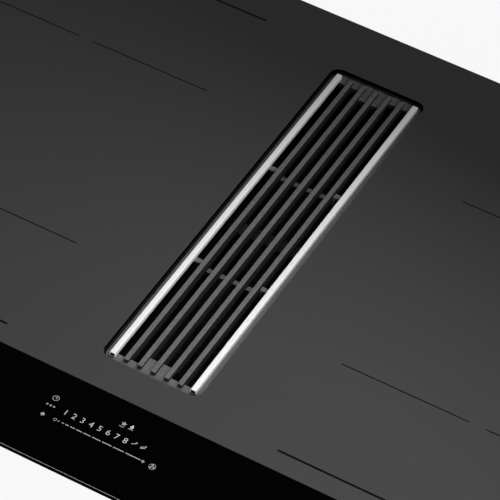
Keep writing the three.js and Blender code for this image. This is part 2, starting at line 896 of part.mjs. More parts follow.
function dripTray() {
  const top = -cassetteDepth - seat;
  const low = top - dripTrayDepth;
  const level = (shrink, z) => ({ outline: cassettePlan(shrink), z });
  const outer = loft([level(dripTrayTaper, low), level(0, top)]);
  const hollow = loft([
    level(dripTrayTaper + cassetteWall, low + cassetteWall),
    level(cassetteWall, top + past),
  ]);
  return part('drip_tray', cut(outer, hollow), blackPlastic);
}

function filterCassette() {
  const group = new THREE.Group();
  group.add(cassetteFrame(), cassetteHandle(), dripTray());
  sides.forEach(([name, side]) => group.add(greaseFilter(`grease_filter_${name}`, side)));
  return group;
}

// ---------------------------------------------------------------------------
// Collar, well and air box
// ---------------------------------------------------------------------------

function inletCollar() {
  const top = glassUnderside - seat;
  const flange = prism(inletOutline(-collarFlange), top - collarSheet, top);
  const neck = prism(inletOutline(-collarWall), ledgeUnderside, top);
  const mouth = prism(inletOutline(0), ledgeTop, top + past);
  const passage = prism(cassettePlan(-ledgeClearance), ledgeUnderside - past, top);
  return part('inlet_collar', cut(join(flange, neck), mouth, passage), blackPlastic);
}

// Side view of the well, drawn in by the given wall.
function wellSection(wall) {
  const outline = [
    point(wellFront, wellTop),
    point(wellFront, -wellSlopeStart),
    point(wellMouthFront, -airBoxTop),
    point(wellMouthBack, -airBoxTop),
    point(wellBack, -wellSlopeStart),
    point(wellBack, wellTop),
  ];
  return wall ? inset(outline, wall) : outline;
}

function inletWell() {
  const half = wellWidth / 2;
  const section = wellSection(wellWall);
  section[2].add(point(wellWall + past, -wellWall - past));
  section[3].add(point(-wellWall - past, -wellWall - past));
  const flangeTop = -trayDepth - seat;
  const flange = block(-half - wellFlange, half + wellFlange, wellFront - wellFlange,
    wellBack + wellFlange, flangeTop - wellFlangeSheet, flangeTop);
  const pitch = (wellMouthBack - wellMouthFront) / wellRibs;
  const ribs = Array.from({ length: wellRibs }, (_, i) => {
    const y = wellMouthFront + (i + 0.5) * pitch;
    return block(-half - wellRib / 2, half, y - wellRib / 2, y + wellRib / 2,
      -airBoxTop, flangeTop - wellFlangeSheet / 2);
  });
  const shell = cut(
    join(alongX(wellSection(0), -half, half), flange, ...ribs),
    alongX(section, -half + wellWall, half - wellWall),
    prism(inletOutline(-collarWall - fit), wellTop - wellWall - past, wellTop + past),
  );
  return part('inlet_well', shell, blackPlastic);
}

function airBoxSection(wall) {
  const outline = [
    point(wellMouthFront, -airBoxTop - seat),
    point(wellMouthFront + airBoxFrontSlope, airBoxFloor),
    point(wellMouthBack, airBoxFloor),
    point(wellMouthBack, -airBoxTop - seat),
  ];
  return wall ? inset(outline, wall) : outline;
}

function airBox() {
  const hollow = airBoxSection(airBoxWall);
  hollow[0].add(point(-airBoxWall, airBoxWall + past));
  hollow[3].add(point(0, airBoxWall + past));
  const feet = [airBoxLeft, airBoxRight - footWidth].map((x) =>
    block(x, x + footWidth, wellMouthFront + airBoxFrontSlope, wellMouthBack,
      -overallHeight, airBoxFloor + past));
  const shell = cut(
    join(alongX(airBoxSection(0), airBoxLeft, airBoxRight), ...feet),
    alongX(hollow, airBoxLeft + airBoxWall, airBoxRight - airBoxWall),
    block(-serviceLidWidth / 2, serviceLidWidth / 2, lidY - serviceLidLength / 2,
      lidY + serviceLidLength / 2, -overallHeight, airBoxFloor + airBoxWall + past),
  );
  return part('air_box', shell, blackPlastic);
}

// Lid under the well, plugged into the floor of the air box.
function serviceLid() {
  const slab = (shrink, low, high) => {
    const width = serviceLidWidth / 2 - shrink;
    const length = serviceLidLength / 2 - shrink;
    return block(-width, width, lidY - length, lidY + length, low, high);
  };
  const cover = slab(-lidRim, airBoxFloor - seat - lidSheet, airBoxFloor - seat);
  const plug = slab(fit, airBoxFloor - lidSheet, airBoxFloor + airBoxWall);
  const pocket = slab(fit + lidPlugWall, airBoxFloor, airBoxFloor + airBoxWall + past);
  return part('service_lid', cut(join(cover, plug), pocket), blackPlastic);
}

// ---------------------------------------------------------------------------
// Blower: scroll housing, inlet plate, impeller, motor and outlet
// ---------------------------------------------------------------------------

// Plan of the scroll: a growing spiral, then an outer wall to the outlet and a flared inner one.
function scrollOutline() {
  const turns = arc(0, 0, 1, scrollTongue, 360, scrollSteps).map((unit, i) =>
    point(blowerX, blowerY).addScaledVector(unit,
      scrollBase + scrollWall + (scrollGrowth * i) / scrollSteps));
  const tongue = turns[0];
  const left = outletX - outletWidth / 2 - scrollWall;
  return [
    ...turns,
    point(outletRight, outletY),
    point(left, outletY),
    point(left, outletY - diffuserStraight),
    point(tongue.x - scrollWall, blowerY + scrollBase + diffuserStraight),
  ];
}

function scrollHousing() {
  const outline = scrollOutline();
  const hollow = inset(outline, scrollWall);
  const passage = block(outletX - outletWidth / 2 + scrollWall, outletX + outletWidth / 2 - scrollWall,
    outletY - 2 * scrollWall, outletY + past, scrollUnderside - past, -scrollTop - scrollWall);
  const shell = cut(
    prism(outline, scrollUnderside, -scrollTop),
    prism(hollow, scrollUnderside - past, -scrollTop - scrollWall),
    passage,
    cylinder(motorRadius + scrollWall, -scrollTop - scrollWall - past, -scrollTop + past,
      blowerX, blowerY),
  );
  return part('scroll_housing', shell, blackPlastic);
}

// Plate that closes the scroll below, with a bell mouth rising into the impeller.
function scrollInletPlate() {
  const top = -airBoxTop + scrollBasePlate;
  const eye = impellerEye - scrollWall - bellGap;
  const flare = arc(eye + bellFlare, -airBoxTop + bellFlare, bellFlare, 180, 270, cornerSteps);
  const plate = join(
    prism(scrollOutline(), -airBoxTop, top),
    block(wellWidth / 2 + wellToScroll / 2, airBoxRight, wellMouthFront, wellMouthBack, -airBoxTop, top),
  );
  const mouth = revolve([
    [eye + bellFlare, -airBoxTop], [eye + bellFlare, top], [eye + scrollWall, top],
    [eye + scrollWall, top + bellRise], [eye, top + bellRise], ...flare.map(({ x, y }) => [x, y]),
  ], blowerX, blowerY);
  const hole = cylinder(eye + bellFlare - past, -airBoxTop - past, top + past, blowerX, blowerY);
  return part('scroll_inlet_plate', join(cut(plate, hole), mouth), blackPlastic);
}

// One forward-curved blade: an arc of sheet that spans from the eye to the rim.
function impellerBlade(angle) {
  const [start, end] = [impellerBladeFrom, impellerBladeTo].map(THREE.MathUtils.degToRad);
  const span = impellerRadius - impellerEye - 2 * impellerSheet;
  const bend = span / (Math.cos(end) - Math.cos(start));
  const x = impellerRadius - impellerSheet - bend * Math.cos(end);
  const curve = arc(x, 0, bend, impellerBladeFrom, impellerBladeTo,
    impellerBladeSteps);
  const outline = band(curve, impellerSheet).map((corner) =>
    corner.rotateAround(point(0, 0), angle).add(point(blowerX, blowerY)));
  return prism(outline, impellerUnderside + impellerSheet / 2, impellerTop - impellerSheet / 2);
}

function impeller() {
  const cup = motorRadius + scrollWall;
  const cupFloor = impellerTop - motorHeight - impellerSheet;
  const back = revolve([
    [0, cupFloor], [cup - impellerCupRound, cupFloor], [cup, cupFloor + impellerCupRound],
    [cup + impellerCupDraft, impellerTop - impellerSheet],
    [impellerRadius, impellerTop - impellerSheet], [impellerRadius, impellerTop],
    [cup + impellerCupDraft - impellerSheet, impellerTop],
    [cup - impellerSheet, cupFloor + impellerCupRound],
    [cup - impellerCupRound, cupFloor + impellerSheet], [0, cupFloor + impellerSheet],
  ], blowerX, blowerY);
  const ring = revolve([
    [impellerEye, impellerUnderside], [impellerRadius, impellerUnderside],
    [impellerRadius, impellerUnderside + impellerSheet],
    [impellerEye, impellerUnderside + impellerSheet], [impellerEye, impellerUnderside],
  ], blowerX, blowerY);
  const blades = Array.from({ length: impellerBlades }, (_, i) =>
    impellerBlade((2 * Math.PI * i) / impellerBlades));
  return part('impeller', join(back, ring, ...blades), greyPlastic);
}

// Outer rotor of the motor: a can with the shaft standing in its floor.
function motorRotor() {
  const can = motorRadius - motorGap;
  const inside = can - motorCanWall;
  const low = impellerTop - motorHeight + seat;
  const floor = low + motorCanWall;
  const top = impellerTop - fit;
  return part('motor_rotor', revolve([
    [0, low], [can - motorCanRound, low], [can, low + motorCanRound], [can, top], [inside, top],
    [inside, low + motorCanRound], [inside - motorCanWall, floor],
    [shaftRadius, floor], [shaftRadius, top + scrollWall], [0, top + scrollWall],
  ], blowerX, blowerY, motorSteps), galvanised);
}

function motorStator() {
  const flange = -scrollTop + seat;
  const core = motorRadius - motorGap - motorCanWall - motorCoreGap;
  const neck = core - motorNeck;
  const floor = impellerTop - motorHeight + 2 * motorCanWall;
  const bore = shaftRadius + fit;
  const body = revolve([
    [bore, floor], [core, floor], [core, impellerTop - motorNeck / 2], [neck, impellerTop],
    [neck, flange], [motorFlangeRadius, flange], [motorFlangeRadius, flange + motorFlangeSheet],
    [bore, flange + motorFlangeSheet], [bore, floor],
  ], blowerX, blowerY, motorSteps);
  return part('motor_stator', body, blackSteel);
}

// Rubber ring that carries the blower under the tray floor, round the motor flange.
function blowerMountRing() {
  const inner = motorFlangeRadius + mountRingWidth / 4;
  const outer = inner + mountRingWidth;
  const waist = mountRingWidth / 4;
  const top = -trayDepth - seat;
  const low = -scrollTop + seat;
  const middle = (low + top) / 2;
  return part('blower_mount_ring', revolve([
    [inner, low], [outer, low], [outer - waist, middle], [outer, top], [inner, top],
    [inner + waist, middle], [inner, low],
  ], blowerX, blowerY), rubber);
}

const outletLevel = (width, height) => roundedRect(width, height, outletCorner, outletX, outletZ);

function outletSpigot() {
  const start = outletY + seat;
  const flange = alongY(outletLevel(outletWidth + 2 * outletFlange, outletHeight + 2 * outletFlange),
    start, start + 2 * outletWall);
  const tube = alongY(outletLevel(outletWidth, outletHeight), start, outletY + outletLength);
  const bore = alongY(outletLevel(outletWidth - 2 * outletWall, outletHeight - 2 * outletWall),
    start - past, outletY + outletLength + past);
  const pinHole = alongX(circle(flapY, outletZ, flapPinRadius + seat, pinSteps),
    outletX - outletWidth / 2 - past, outletX + outletWidth / 2 + past);
  return part('outlet_spigot', cut(join(flange, tube), bore, pinHole), blackPlastic);
}

function flapPin() {
  const half = outletWidth / 2;
  return part('flap_pin', alongX(circle(flapY, outletZ, flapPinRadius, pinSteps), outletX - half,
    outletX + half), stainless);
}

// Half flap on the near side of the pin. It hangs on its own two knuckles, has notches for the
// knuckles of the other half, and closes half of the spigot.
function outletFlap(name, up) {
  const halfWidth = outletWidth / 2 - outletWall - flapSideGap;
  const bore = flapPinRadius + fit;
  const ring = bore + knuckleWall;
  const tip = outletHeight / 2 - outletWall - 2 * fit;
  const outline = [
    point(-halfWidth, fit),
    point(halfWidth, fit),
    ...arc(halfWidth - outletCorner, tip - outletCorner, outletCorner, 0, 90, cornerSteps),
    ...arc(outletCorner - halfWidth, tip - outletCorner, outletCorner, 90, 180, cornerSteps),
  ].map(({ x, y }) => point(outletX + x, outletZ + up * y));
  const onPin = (radius, side, shift, length) => {
    const middle = outletX + side * (halfWidth - knuckleInset) + (shift * (knuckleLength + knuckleGap)) / 2;
    return alongX(circle(flapY, outletZ, radius, pinSteps), middle - length / 2, middle + length / 2);
  };
  const knuckles = sides.map(([, side]) => onPin(ring, side, up, knuckleLength));
  const notches = sides.map(([, side]) => onPin(ring + fit, side, -up, knuckleLength + knuckleGap));
  const pinRoom = alongX(circle(flapY, outletZ, bore, pinSteps), outletX - halfWidth - past,
    outletX + halfWidth + past);
  const leaf = cut(alongY(outline, flapY - ring, flapY - ring + flapSheet), ...notches);
  return part(name, cut(join(leaf, ...knuckles), pinRoom), greyPlastic);
}

// ---------------------------------------------------------------------------
// Induction gear in the tray
// ---------------------------------------------------------------------------

// Rounded-square spiral of litz ribbon, wound outwards from the hole in one band.
function coilWinding(name, x, y) {
  const steps = coilTurns * coilSteps;
  const pitch = ((coilDepth - coilHole) / 2 + coilGap) / (coilTurns + 1);
  const ribbon = pitch - coilGap;
  const spread = coilWidth / coilDepth;
  const along = (i, offset) => {
    const angle = (2 * Math.PI * i) / coilSteps;
    const round = (Math.cos(angle) ** 4 + Math.sin(angle) ** 4) ** -0.25;
    const grown = (coilHole / 2 + offset + (pitch * i) / coilSteps) * (1 + coilSquareness * (round - 1));
    const stretch = 1 + (spread - 1) * (i / steps);
    return point(x + stretch * grown * Math.cos(angle), y + grown * Math.sin(angle));
  };
  const inner = Array.from({ length: steps + 1 }, (_, i) => along(i, 0));
  const outer = Array.from({ length: steps + 1 }, (_, i) => along(i, ribbon)).reverse();
  return part(name, prism([...inner, ...outer], coilUnderside, -coilTop), copper);
}

// Carrier of one winding, with ferrite bars below it and a temperature sensor in its middle.
function coilFormer(name, x, y) {
  const plan = roundedRect(coilWidth + 2 * formerMargin, coilDepth + 2 * formerMargin,
    formerCorner, x, y);
  const top = coilUnderside - seat;
  const start = coilHole / 2 + ferriteInnerGap;
  const end = coilDepth / 2 + formerMargin - ferriteOuterGap;
  const bars = Array.from({ length: ferriteCount }, (_, i) => {
    const bar = block(start, end, -ferriteWidth / 2, ferriteWidth / 2,
      ferriteUnderside, formerUnderside + formerThickness / 2);
    return bar.rotateZ((2 * Math.PI * i) / ferriteCount).translate(x, y, 0);
  });
  const sensor = revolve([
    [0, formerUnderside], [sensorRadius, formerUnderside], [sensorRadius, -coilTop],
    [sensorRadius - sensorRound, sensorRise - coilTop], [0, sensorRise - coilTop],
  ], x, y, pinSteps);
  return part(name, join(prism(plan, formerUnderside, top), ...bars, sensor), ferrite);
}

function coilPlate(name, side) {
  const x = (side * zonePitchX) / 2;
  const plan = roundedRect(coilPlateWidth, coilPlateLength, coilPlateCorner, x, zoneCentreY);
  const holes = postPlaces(side).map(([px, py]) => circle(px, py, coilPlateHole, smallSteps));
  return part(name, prism(plan, coilPlateUnderside, coilPlateTop, holes), aluminium);
}

function postPlaces(side) {
  const x = coilPlateWidth / 2 - 2 * postRadius;
  const y = coilPlateLength / 2 - 2 * postRadius;
  return [-1, 1].flatMap((across) => [-1, 1].map((along) =>
    [(side * zonePitchX) / 2 + across * x, zoneCentreY + along * y]));
}

// Inverter board on four stand-offs, with its choke, capacitors and relays.
function powerBoard(name, side) {
  const x = side * fanX;
  const foot = boardTop - leadDepth;
  const halfWidth = boardWidth / 2;
  const halfLength = boardLength / 2;
  const low = boardTop - boardSheet;
  const standoffs = sides.flatMap(([, across]) => sides.map(([, along]) =>
    cylinder(standoffRadius, trayFloor + seat, low + boardSheet / 2,
      x + across * (halfWidth - standoffInset), boardY + along * (halfLength - standoffInset),
      smallSteps)));
  const choke = cylinder(chokeRadius, foot, boardTop + chokeHeight,
    x + side * (halfWidth - chokeInsetX), boardY + halfLength - chokeInsetY, pinSteps);
  const capacitors = Array.from({ length: capacitorCount }, (_, i) =>
    cylinder(capacitorRadius, foot, boardTop + capacitorHeight, x + side * (halfWidth - capacitorInsetX),
      boardY - halfLength + capacitorInsetY + i * capacitorPitch, pinSteps));
  const relayX = x - side * (halfWidth - relayInsetX);
  const relays = Array.from({ length: relayCount }, (_, i) => {
    const y = boardY + halfLength - relayInsetY - i * relayPitch;
    return block(relayX - relayWidth / 2, relayX + relayWidth / 2, y - relayDepth / 2, y + relayDepth / 2,
      foot, boardTop + relayHeight);
  });
  const sheet = block(x - halfWidth, x + halfWidth, boardY - halfLength, boardY + halfLength, low, boardTop);
  return part(name, join(sheet, ...standoffs, choke, ...capacitors, ...relays), circuitBoard);
}

function heatSink(name, side) {
  const low = boardTop + seat;
  const base = low + sinkBase;
  const pitch = (sinkWidth - sinkFin) / (sinkFins - 1);
  const left = side * fanX - sinkWidth / 2;
  const comb = Array.from({ length: sinkFins }, (_, i) => {
    const x = left + (sinkFins - 1 - i) * pitch;
    const fin = [point(x + sinkFin, low + sinkHeight), point(x, low + sinkHeight)];
    const gap = i < sinkFins - 1 ? [point(x, base), point(x - pitch + sinkFin, base)] : [];
    return [...fin, ...gap];
  }).flat();
  const outline = [point(left, low), point(left + sinkWidth, low), ...comb];
  return part(name, alongY(outline, boardY - sinkLength / 2, boardY + sinkLength / 2), aluminium);
}

function coolingFan(name, side) {
  const x = side * fanX;
  const low = trayFloor + seat;
  const floor = low + fanSpokeSheet;
  const frame = prism(roundedRect(fanSize, fanSize, fanCorner, x, fanY), low, low + fanThickness,
    [circle(x, fanY, fanBore)]);
  const hub = cylinder(fanHubRadius, low, floor, x, fanY, pinSteps);
  const spokes = Array.from({ length: fanSpokes }, (_, i) =>
    block(0, fanBore + past, -fanSpoke / 2, fanSpoke / 2, low, floor)
      .rotateZ(((i + 0.5) * 2 * Math.PI) / fanSpokes).translate(x, fanY, 0));
  return part(name, join(frame, hub, ...spokes), blackPlastic);
}

function coolingFanRotor(name, side) {
  const x = side * fanX;
  const low = trayFloor + seat + fanSpokeSheet + 2 * fit;
  const high = low + fanThickness - fanRotorDrop;
  const lean = fanBladeSweep / 2;
  const section = [
    point(-lean, low + fanBladeGap), point(-lean + fanBladeSheet, low + fanBladeGap),
    point(lean, high - fanBladeGap), point(lean - fanBladeSheet, high - fanBladeGap),
  ];
  const blades = Array.from({ length: fanBlades }, (_, i) =>
    alongX(section, fanHubRadius - 2 * past, fanBore - fanTipGap)
      .rotateZ((2 * Math.PI * i) / fanBlades).translate(x, fanY, 0));
  const hub = cylinder(fanHubRadius, low, high, x, fanY, 2 * fanBlades);
  return part(name, join(hub, ...blades), blackPlastic);
}

function touchPlan(grow) {
  return roundedRect(touchWidth + 2 * grow, touchDepth + 2 * grow, touchCorner + grow, 0, touchY);
}

// Carrier of the touch controls, pressed up under the control strip of the glass.
function touchCarrier() {
  const top = glassUnderside - seat;
  const low = top - touchCarrierHeight;
  const tub = prism(touchPlan(touchRim), low, top);
  const room = prism(touchPlan(fit), low + touchCarrierFloor, top + past);
  return part('touch_carrier', cut(tub, room), greyPlastic);
}

// Touch board in its carrier, with a row of spring keys that reach up to the glass.
function touchBoard() {
  const low = glassUnderside - touchCarrierHeight + touchCarrierFloor;
  const keys = Array.from({ length: touchKeys }, (_, i) =>
    cylinder(touchKeyRadius, low + boardSheet / 2, glassUnderside - 2 * seat,
      (i - (touchKeys - 1) / 2) * touchKeyPitch, touchY + touchKeySetback, hexagon));
  return part('touch_board', join(prism(touchPlan(0), low, low + boardSheet), ...keys), circuitBoard);
}

function inductionGear() {
  const group = new THREE.Group();
  sides.forEach(([name, side]) => {
    const x = (side * zonePitchX) / 2;
    [['front', -1], ['back', 1]].forEach(([row, end]) => {
      const y = zoneCentreY + (end * zonePitchY) / 2;
      group.add(
        coilWinding(`coil_winding_${row}_${name}`, x, y),
        coilFormer(`coil_former_${row}_${name}`, x, y),
      );
    });
    group.add(
      coilPlate(`coil_plate_${name}`, side),
      powerBoard(`power_board_${name}`, side),
      heatSink(`heat_sink_${name}`, side),
      coolingFan(`cooling_fan_${name}`, side),
      coolingFanRotor(`cooling_fan_rotor_${name}`, side),
    );
  });
  group.add(touchCarrier(), touchBoard());
  return group;
}

function blower() {
  const group = new THREE.Group();
  group.add(
    scrollHousing(), scrollInletPlate(), impeller(), motorRotor(), motorStator(), blowerMountRing(),
    outletSpigot(), flapPin(), outletFlap('outlet_flap_upper', 1), outletFlap('outlet_flap_lower', -1),
  );
  return group;
}

const hob = new THREE.Group();
hob.position.z = overallHeight;
hob.add(
  glassPanel(), worktopTape(), glassFrame(), hobTray(), ...holdDownSprings(),
  terminalBox(), terminalCover(), cableGland(), inletCollar(), inletWell(), airBox(), serviceLid(),
  airGrille(), filterCassette(), blower(), inductionGear(),
);

const cooktop = new THREE.Group();
cooktop.add(hob);

export default cooktop;
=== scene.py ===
"""Finished look of a downdraft induction cooktop: glass, air grille, casing, blower and studio.

Sizes are in metres in the cooktop's own frame: X across, Y to the back, Z up, feet at Z = 0.
Plan places in the comments and tables are in millimetres from the middle of the glass.
"""
import json
import math

import bmesh
import bpy
from mathutils import Matrix, Vector

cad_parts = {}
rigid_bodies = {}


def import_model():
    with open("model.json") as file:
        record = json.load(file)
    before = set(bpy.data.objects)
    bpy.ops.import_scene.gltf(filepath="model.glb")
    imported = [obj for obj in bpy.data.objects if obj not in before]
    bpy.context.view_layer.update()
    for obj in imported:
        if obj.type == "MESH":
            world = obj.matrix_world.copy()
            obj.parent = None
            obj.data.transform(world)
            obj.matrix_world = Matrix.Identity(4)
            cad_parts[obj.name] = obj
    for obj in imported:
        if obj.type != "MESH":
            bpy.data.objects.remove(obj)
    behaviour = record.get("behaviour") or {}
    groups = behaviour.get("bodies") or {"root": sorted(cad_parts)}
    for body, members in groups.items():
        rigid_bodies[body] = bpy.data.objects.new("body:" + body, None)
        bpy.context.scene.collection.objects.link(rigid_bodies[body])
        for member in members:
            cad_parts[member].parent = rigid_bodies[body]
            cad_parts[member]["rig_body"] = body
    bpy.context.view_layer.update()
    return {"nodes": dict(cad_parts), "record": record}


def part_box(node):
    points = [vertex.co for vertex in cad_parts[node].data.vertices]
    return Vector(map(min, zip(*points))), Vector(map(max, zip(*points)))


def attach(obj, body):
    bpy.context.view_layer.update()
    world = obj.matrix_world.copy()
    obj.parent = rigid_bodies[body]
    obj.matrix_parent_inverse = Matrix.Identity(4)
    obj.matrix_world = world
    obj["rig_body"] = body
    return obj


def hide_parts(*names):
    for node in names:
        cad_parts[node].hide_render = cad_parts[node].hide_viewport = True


bl_info = {
    "name": "Downdraft Cooktop",
    "version": (1, 0, 0),
    "blender": (4, 5, 0),
    "location": "View3D > Sidebar > Cooktop",
    "description": "Dresses a downdraft induction cooktop piece by piece",
    "category": "Object",
}

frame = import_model()
NODES = frame["nodes"]
SLOTS = {part["node"]: part["material_slot"] for part in frame["record"]["subparts"]}

MM = 0.001
GLASS_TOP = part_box("glass_panel")[1].z
HEIGHT = 199                         # millimetres from the feet to the top of the glass
SIDES = (("left", -1), ("right", 1))

# Plan of the air inlet
INLET_Y = 27.25                      # middle of the inlet, towards the back
INLET_WIDTH, INLET_LENGTH = 80.5, 353.9
OPENING_HALF = 30.9                  # half the width of the opening in the grille plate
OPENING_FRONT, OPENING_BACK = -139.8, 194.3
STRAP_PLACE = 56.45                  # from the middle of the inlet to each strap
STRAP_HALF = 2.2                     # half the width of a strap, with a little room

# Plan of the controls
SLIDER_Y = -219.4
DIGIT_Y = -209.9
FIRST_DIGIT_X, DIGIT_STEP = -31.2, 6.85
DIAMOND = (-44.3, -219.6)            # sign before the slider
CROSS_X, CROSS_Y = 36.4, -219.6      # sign after the slider

# Enamel, in print heights: how far its middle lies below the overall height, and its thickness
ENAMEL_MIDDLE, ENAMEL_THICKNESS = 0.8, 1.4

# Air path inside the casing
SCROLL_X, SCROLL_Y = 175.875, 20
OUTLET_X, OUTLET_DEPTH = 196.875, 106


def depth(mm):
    """Height of a level that lies mm below the top of the glass."""
    return GLASS_TOP - mm * MM


# ---------------------------------------------------------------------------
# Modelling helpers
# ---------------------------------------------------------------------------

def hold(*pieces):
    """Leaves only these pieces selected, the last of them active, in object mode."""
    active = bpy.context.view_layer.objects.active
    if active and active.mode != "OBJECT":
        bpy.ops.object.mode_set(mode="OBJECT")
    bpy.ops.object.select_all(action="DESELECT")
    for piece in pieces:
        piece.select_set(True)
    if pieces:
        bpy.context.view_layer.objects.active = pieces[-1]


def edit(piece):
    """Opens a piece in edit mode; leave closes it."""
    hold(piece)
    bpy.ops.object.mode_set(mode="EDIT")


def leave(piece):
    bpy.ops.object.mode_set(mode="OBJECT")
    return piece


def weld(piece, face_out=True):
    """Joins the corners that share a place, and turns the faces outwards unless they are so already."""
    edit(piece)
    bpy.ops.mesh.select_all(action="SELECT")
    bpy.ops.mesh.remove_doubles(threshold=1e-6)
    if face_out:
        bpy.ops.mesh.normals_make_consistent(inside=False)
    return leave(piece)


def choose(piece, kind, test):
    """In edit mode, selects only the faces, edges or corners that pass the test."""
    bpy.ops.mesh.select_mode(type=kind)
    bpy.ops.mesh.select_all(action="DESELECT")
    mesh = bmesh.from_edit_mesh(piece.data)
    for item in {"FACE": mesh.faces, "EDGE": mesh.edges, "VERT": mesh.verts}[kind]:
        item.select_set(bool(test(item)))
    mesh.select_flush_mode()
    bmesh.update_edit_mesh(piece.data)


def named(name):
    """Names the active piece and its mesh."""
    piece = bpy.context.object
    piece.name = name
    piece.data.name = name
    return piece


def slab(name, low, high, corner=0.0, steps=6):
    """Flat block between two corners, its upright edges rounded to the corner radius."""
    low, high = Vector(low), Vector(high)
    hold()
    bpy.ops.mesh.primitive_cube_add(size=1, location=(low + high) / 2, scale=high - low)
    piece = named(name)
    bpy.ops.object.transform_apply(location=True, rotation=True, scale=True)
    if corner:
        edit(piece)
        choose(piece, "EDGE", lambda e: (e.verts[0].co - e.verts[1].co).xy.length < 1e-6)
        bpy.ops.mesh.bevel(offset=corner, segments=steps, affect="EDGES")
        leave(piece)
    return piece


def plan_slab(name, x, y, width, length, top, thickness, corner=0.0, steps=6):
    """Slab given in millimetres on the plan, with its top at a depth below the glass top."""
    low = Vector(((x - width / 2) * MM, (y - length / 2) * MM, depth(top + thickness)))
    high = Vector(((x + width / 2) * MM, (y + length / 2) * MM, depth(top)))
    return slab(name, low, high, corner * MM, steps)


def post(name, centre, radius, length, sides):
    """Upright round bar centred on a point."""
    hold()
    bpy.ops.mesh.primitive_cylinder_add(vertices=sides, radius=radius, depth=length, location=centre)
    piece = named(name)
    bpy.ops.object.transform_apply(location=True, rotation=True, scale=True)
    return piece


def laid(axis):
    """Turn that lays an upright piece along an axis."""
    return Vector((0, 0, 1)).rotation_difference(Vector(axis)).to_matrix().to_4x4()


def turned(name, profile, steps, centre=(0, 0, 0), axis=(0, 0, 1)):
    """Lathe work: a profile of (radius, height) in millimetres, spun once round and laid along an axis."""
    mesh = bpy.data.meshes.new(name)
    points = [(radius * MM, 0, height * MM) for radius, height in profile]
    mesh.from_pydata(points, [(i, i + 1) for i in range(len(points) - 1)], [])
    piece = bpy.data.objects.new(name, mesh)
    bpy.context.scene.collection.objects.link(piece)
    edit(piece)
    bpy.ops.mesh.select_all(action="SELECT")
    bpy.ops.mesh.spin(steps=steps, angle=2 * math.pi, center=(0, 0, 0), axis=(0, 0, 1))
    weld(leave(piece))
    piece.data.transform(Matrix.Translation(Vector(centre)) @ laid(axis))
    return piece


def use(piece, kind, **settings):
    """Adds a modifier with these settings and applies it."""
    hold(piece)
    modifier = piece.modifiers.new(kind.title(), kind)
    for key, value in settings.items():
        setattr(modifier, key, value)
    bpy.ops.object.modifier_apply(modifier=modifier.name)
    return piece


def joined(name, pieces):
    """Makes one piece of several."""
    hold(*pieces)
    bpy.ops.object.join()
    return named(name)


def carve(piece, *tools):
    """Cuts the tools out of a piece and removes them."""
    for tool in tools:
        use(piece, "BOOLEAN", object=tool, operation="DIFFERENCE", solver="EXACT")
        bpy.data.objects.remove(tool)
    return piece


def ease(piece, width, segments=2, angle=40):
    """Rounds every edge sharper than the angle. The width is in millimetres."""
    return use(piece, "BEVEL", width=width * MM, segments=segments, limit_method="ANGLE",
               angle_limit=math.radians(angle), miter_outer="MITER_ARC")


def smooth(piece, angle=35):
    """Shades a piece smooth, with creases at edges sharper than the angle."""
    hold(piece)
    bpy.ops.object.shade_smooth_by_angle(angle=math.radians(angle))
    return use(piece, "WEIGHTED_NORMAL", keep_sharp=True)


def copies(piece, places):
    """Copies of a piece, each with its own mesh, at these shifts in millimetres."""
    made = []
    for i, shift in enumerate(places):
        twin = piece.copy()
        twin.data = piece.data.copy()
        twin.name = twin.data.name = f"{piece.name}_{i + 1}"
        bpy.context.scene.collection.objects.link(twin)
        twin.data.transform(Matrix.Translation(Vector(shift) * MM))
        made.append(twin)
    bpy.data.objects.remove(piece)
    return made


def refined(node, width, segments=2, angle=40):
    """Copy of a frame piece with facets joined into whole faces and edges rounded."""
    mesh = NODES[node].data.copy()
    piece = bpy.data.objects.new(f"{node}_finished", mesh)
    mesh.name = piece.name
    mesh.materials.clear()
    bpy.context.scene.collection.objects.link(piece)
    hold(piece)
    bpy.ops.mesh.customdata_custom_splitnormals_clear()
    edit(piece)
    bpy.ops.mesh.select_all(action="SELECT")
    bpy.ops.mesh.remove_doubles(threshold=2e-5)
    bpy.ops.mesh.dissolve_limited(angle_limit=math.radians(1))
    bpy.ops.mesh.vert_connect_concave()
    leave(piece)
    return ease(piece, width, segments, angle) if width else piece


def dress(piece, finish, body, slot, *replaced):
    """Gives a piece its material and body, and hides the frame pieces it stands for. The slot is not used.
    """
    piece.data.materials.clear()
    piece.data.materials.append(FINISHES[finish]())
    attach(piece, body)
    if replaced:
        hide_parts(*replaced)
    return piece


def finished(node, finish, width, segments=2, angle=40, shade=35):
    """Refines a frame piece and dresses it on the body that carries it."""
    piece = smooth(refined(node, width, segments, angle), shade)
    return dress(piece, finish, NODES[node]["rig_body"], SLOTS[node], node)


def coat_faces(piece, finish, test):
    """Puts a second finish on the faces that pass the test."""
    piece.data.materials.append(FINISHES[finish]())
    index = len(piece.data.materials) - 1
    for face in piece.data.polygons:
        if test(face.center, face.normal):
            face.material_index = index
    return piece


def screws(name, places, axis, radius=2.4, rise=1.3):
    """Pan-head screws with a cross recess, heads standing on these points in millimetres."""
    profile = [(0, 0), (radius, 0), (radius * 1.04, rise * 0.35), (radius * 0.8, rise * 0.85), (0, rise)]
    head = turned("screw_pattern", profile, 16)
    arm, thick, foot, top = radius * 0.62 * MM, 0.25 * MM, rise * 0.4 * MM, rise * 2 * MM
    carve(head, slab("recess_a", (-arm, -thick, foot), (arm, thick, top)),
          slab("recess_b", (-thick, -arm, foot), (thick, arm, top)))
    head.data.transform(laid(axis))
    piece = joined(name, copies(head, places))
    return dress(smooth(piece, 40), "bright_steel", "hob", "stainless_steel")


# ---------------------------------------------------------------------------
# Shared shader effects
# ---------------------------------------------------------------------------

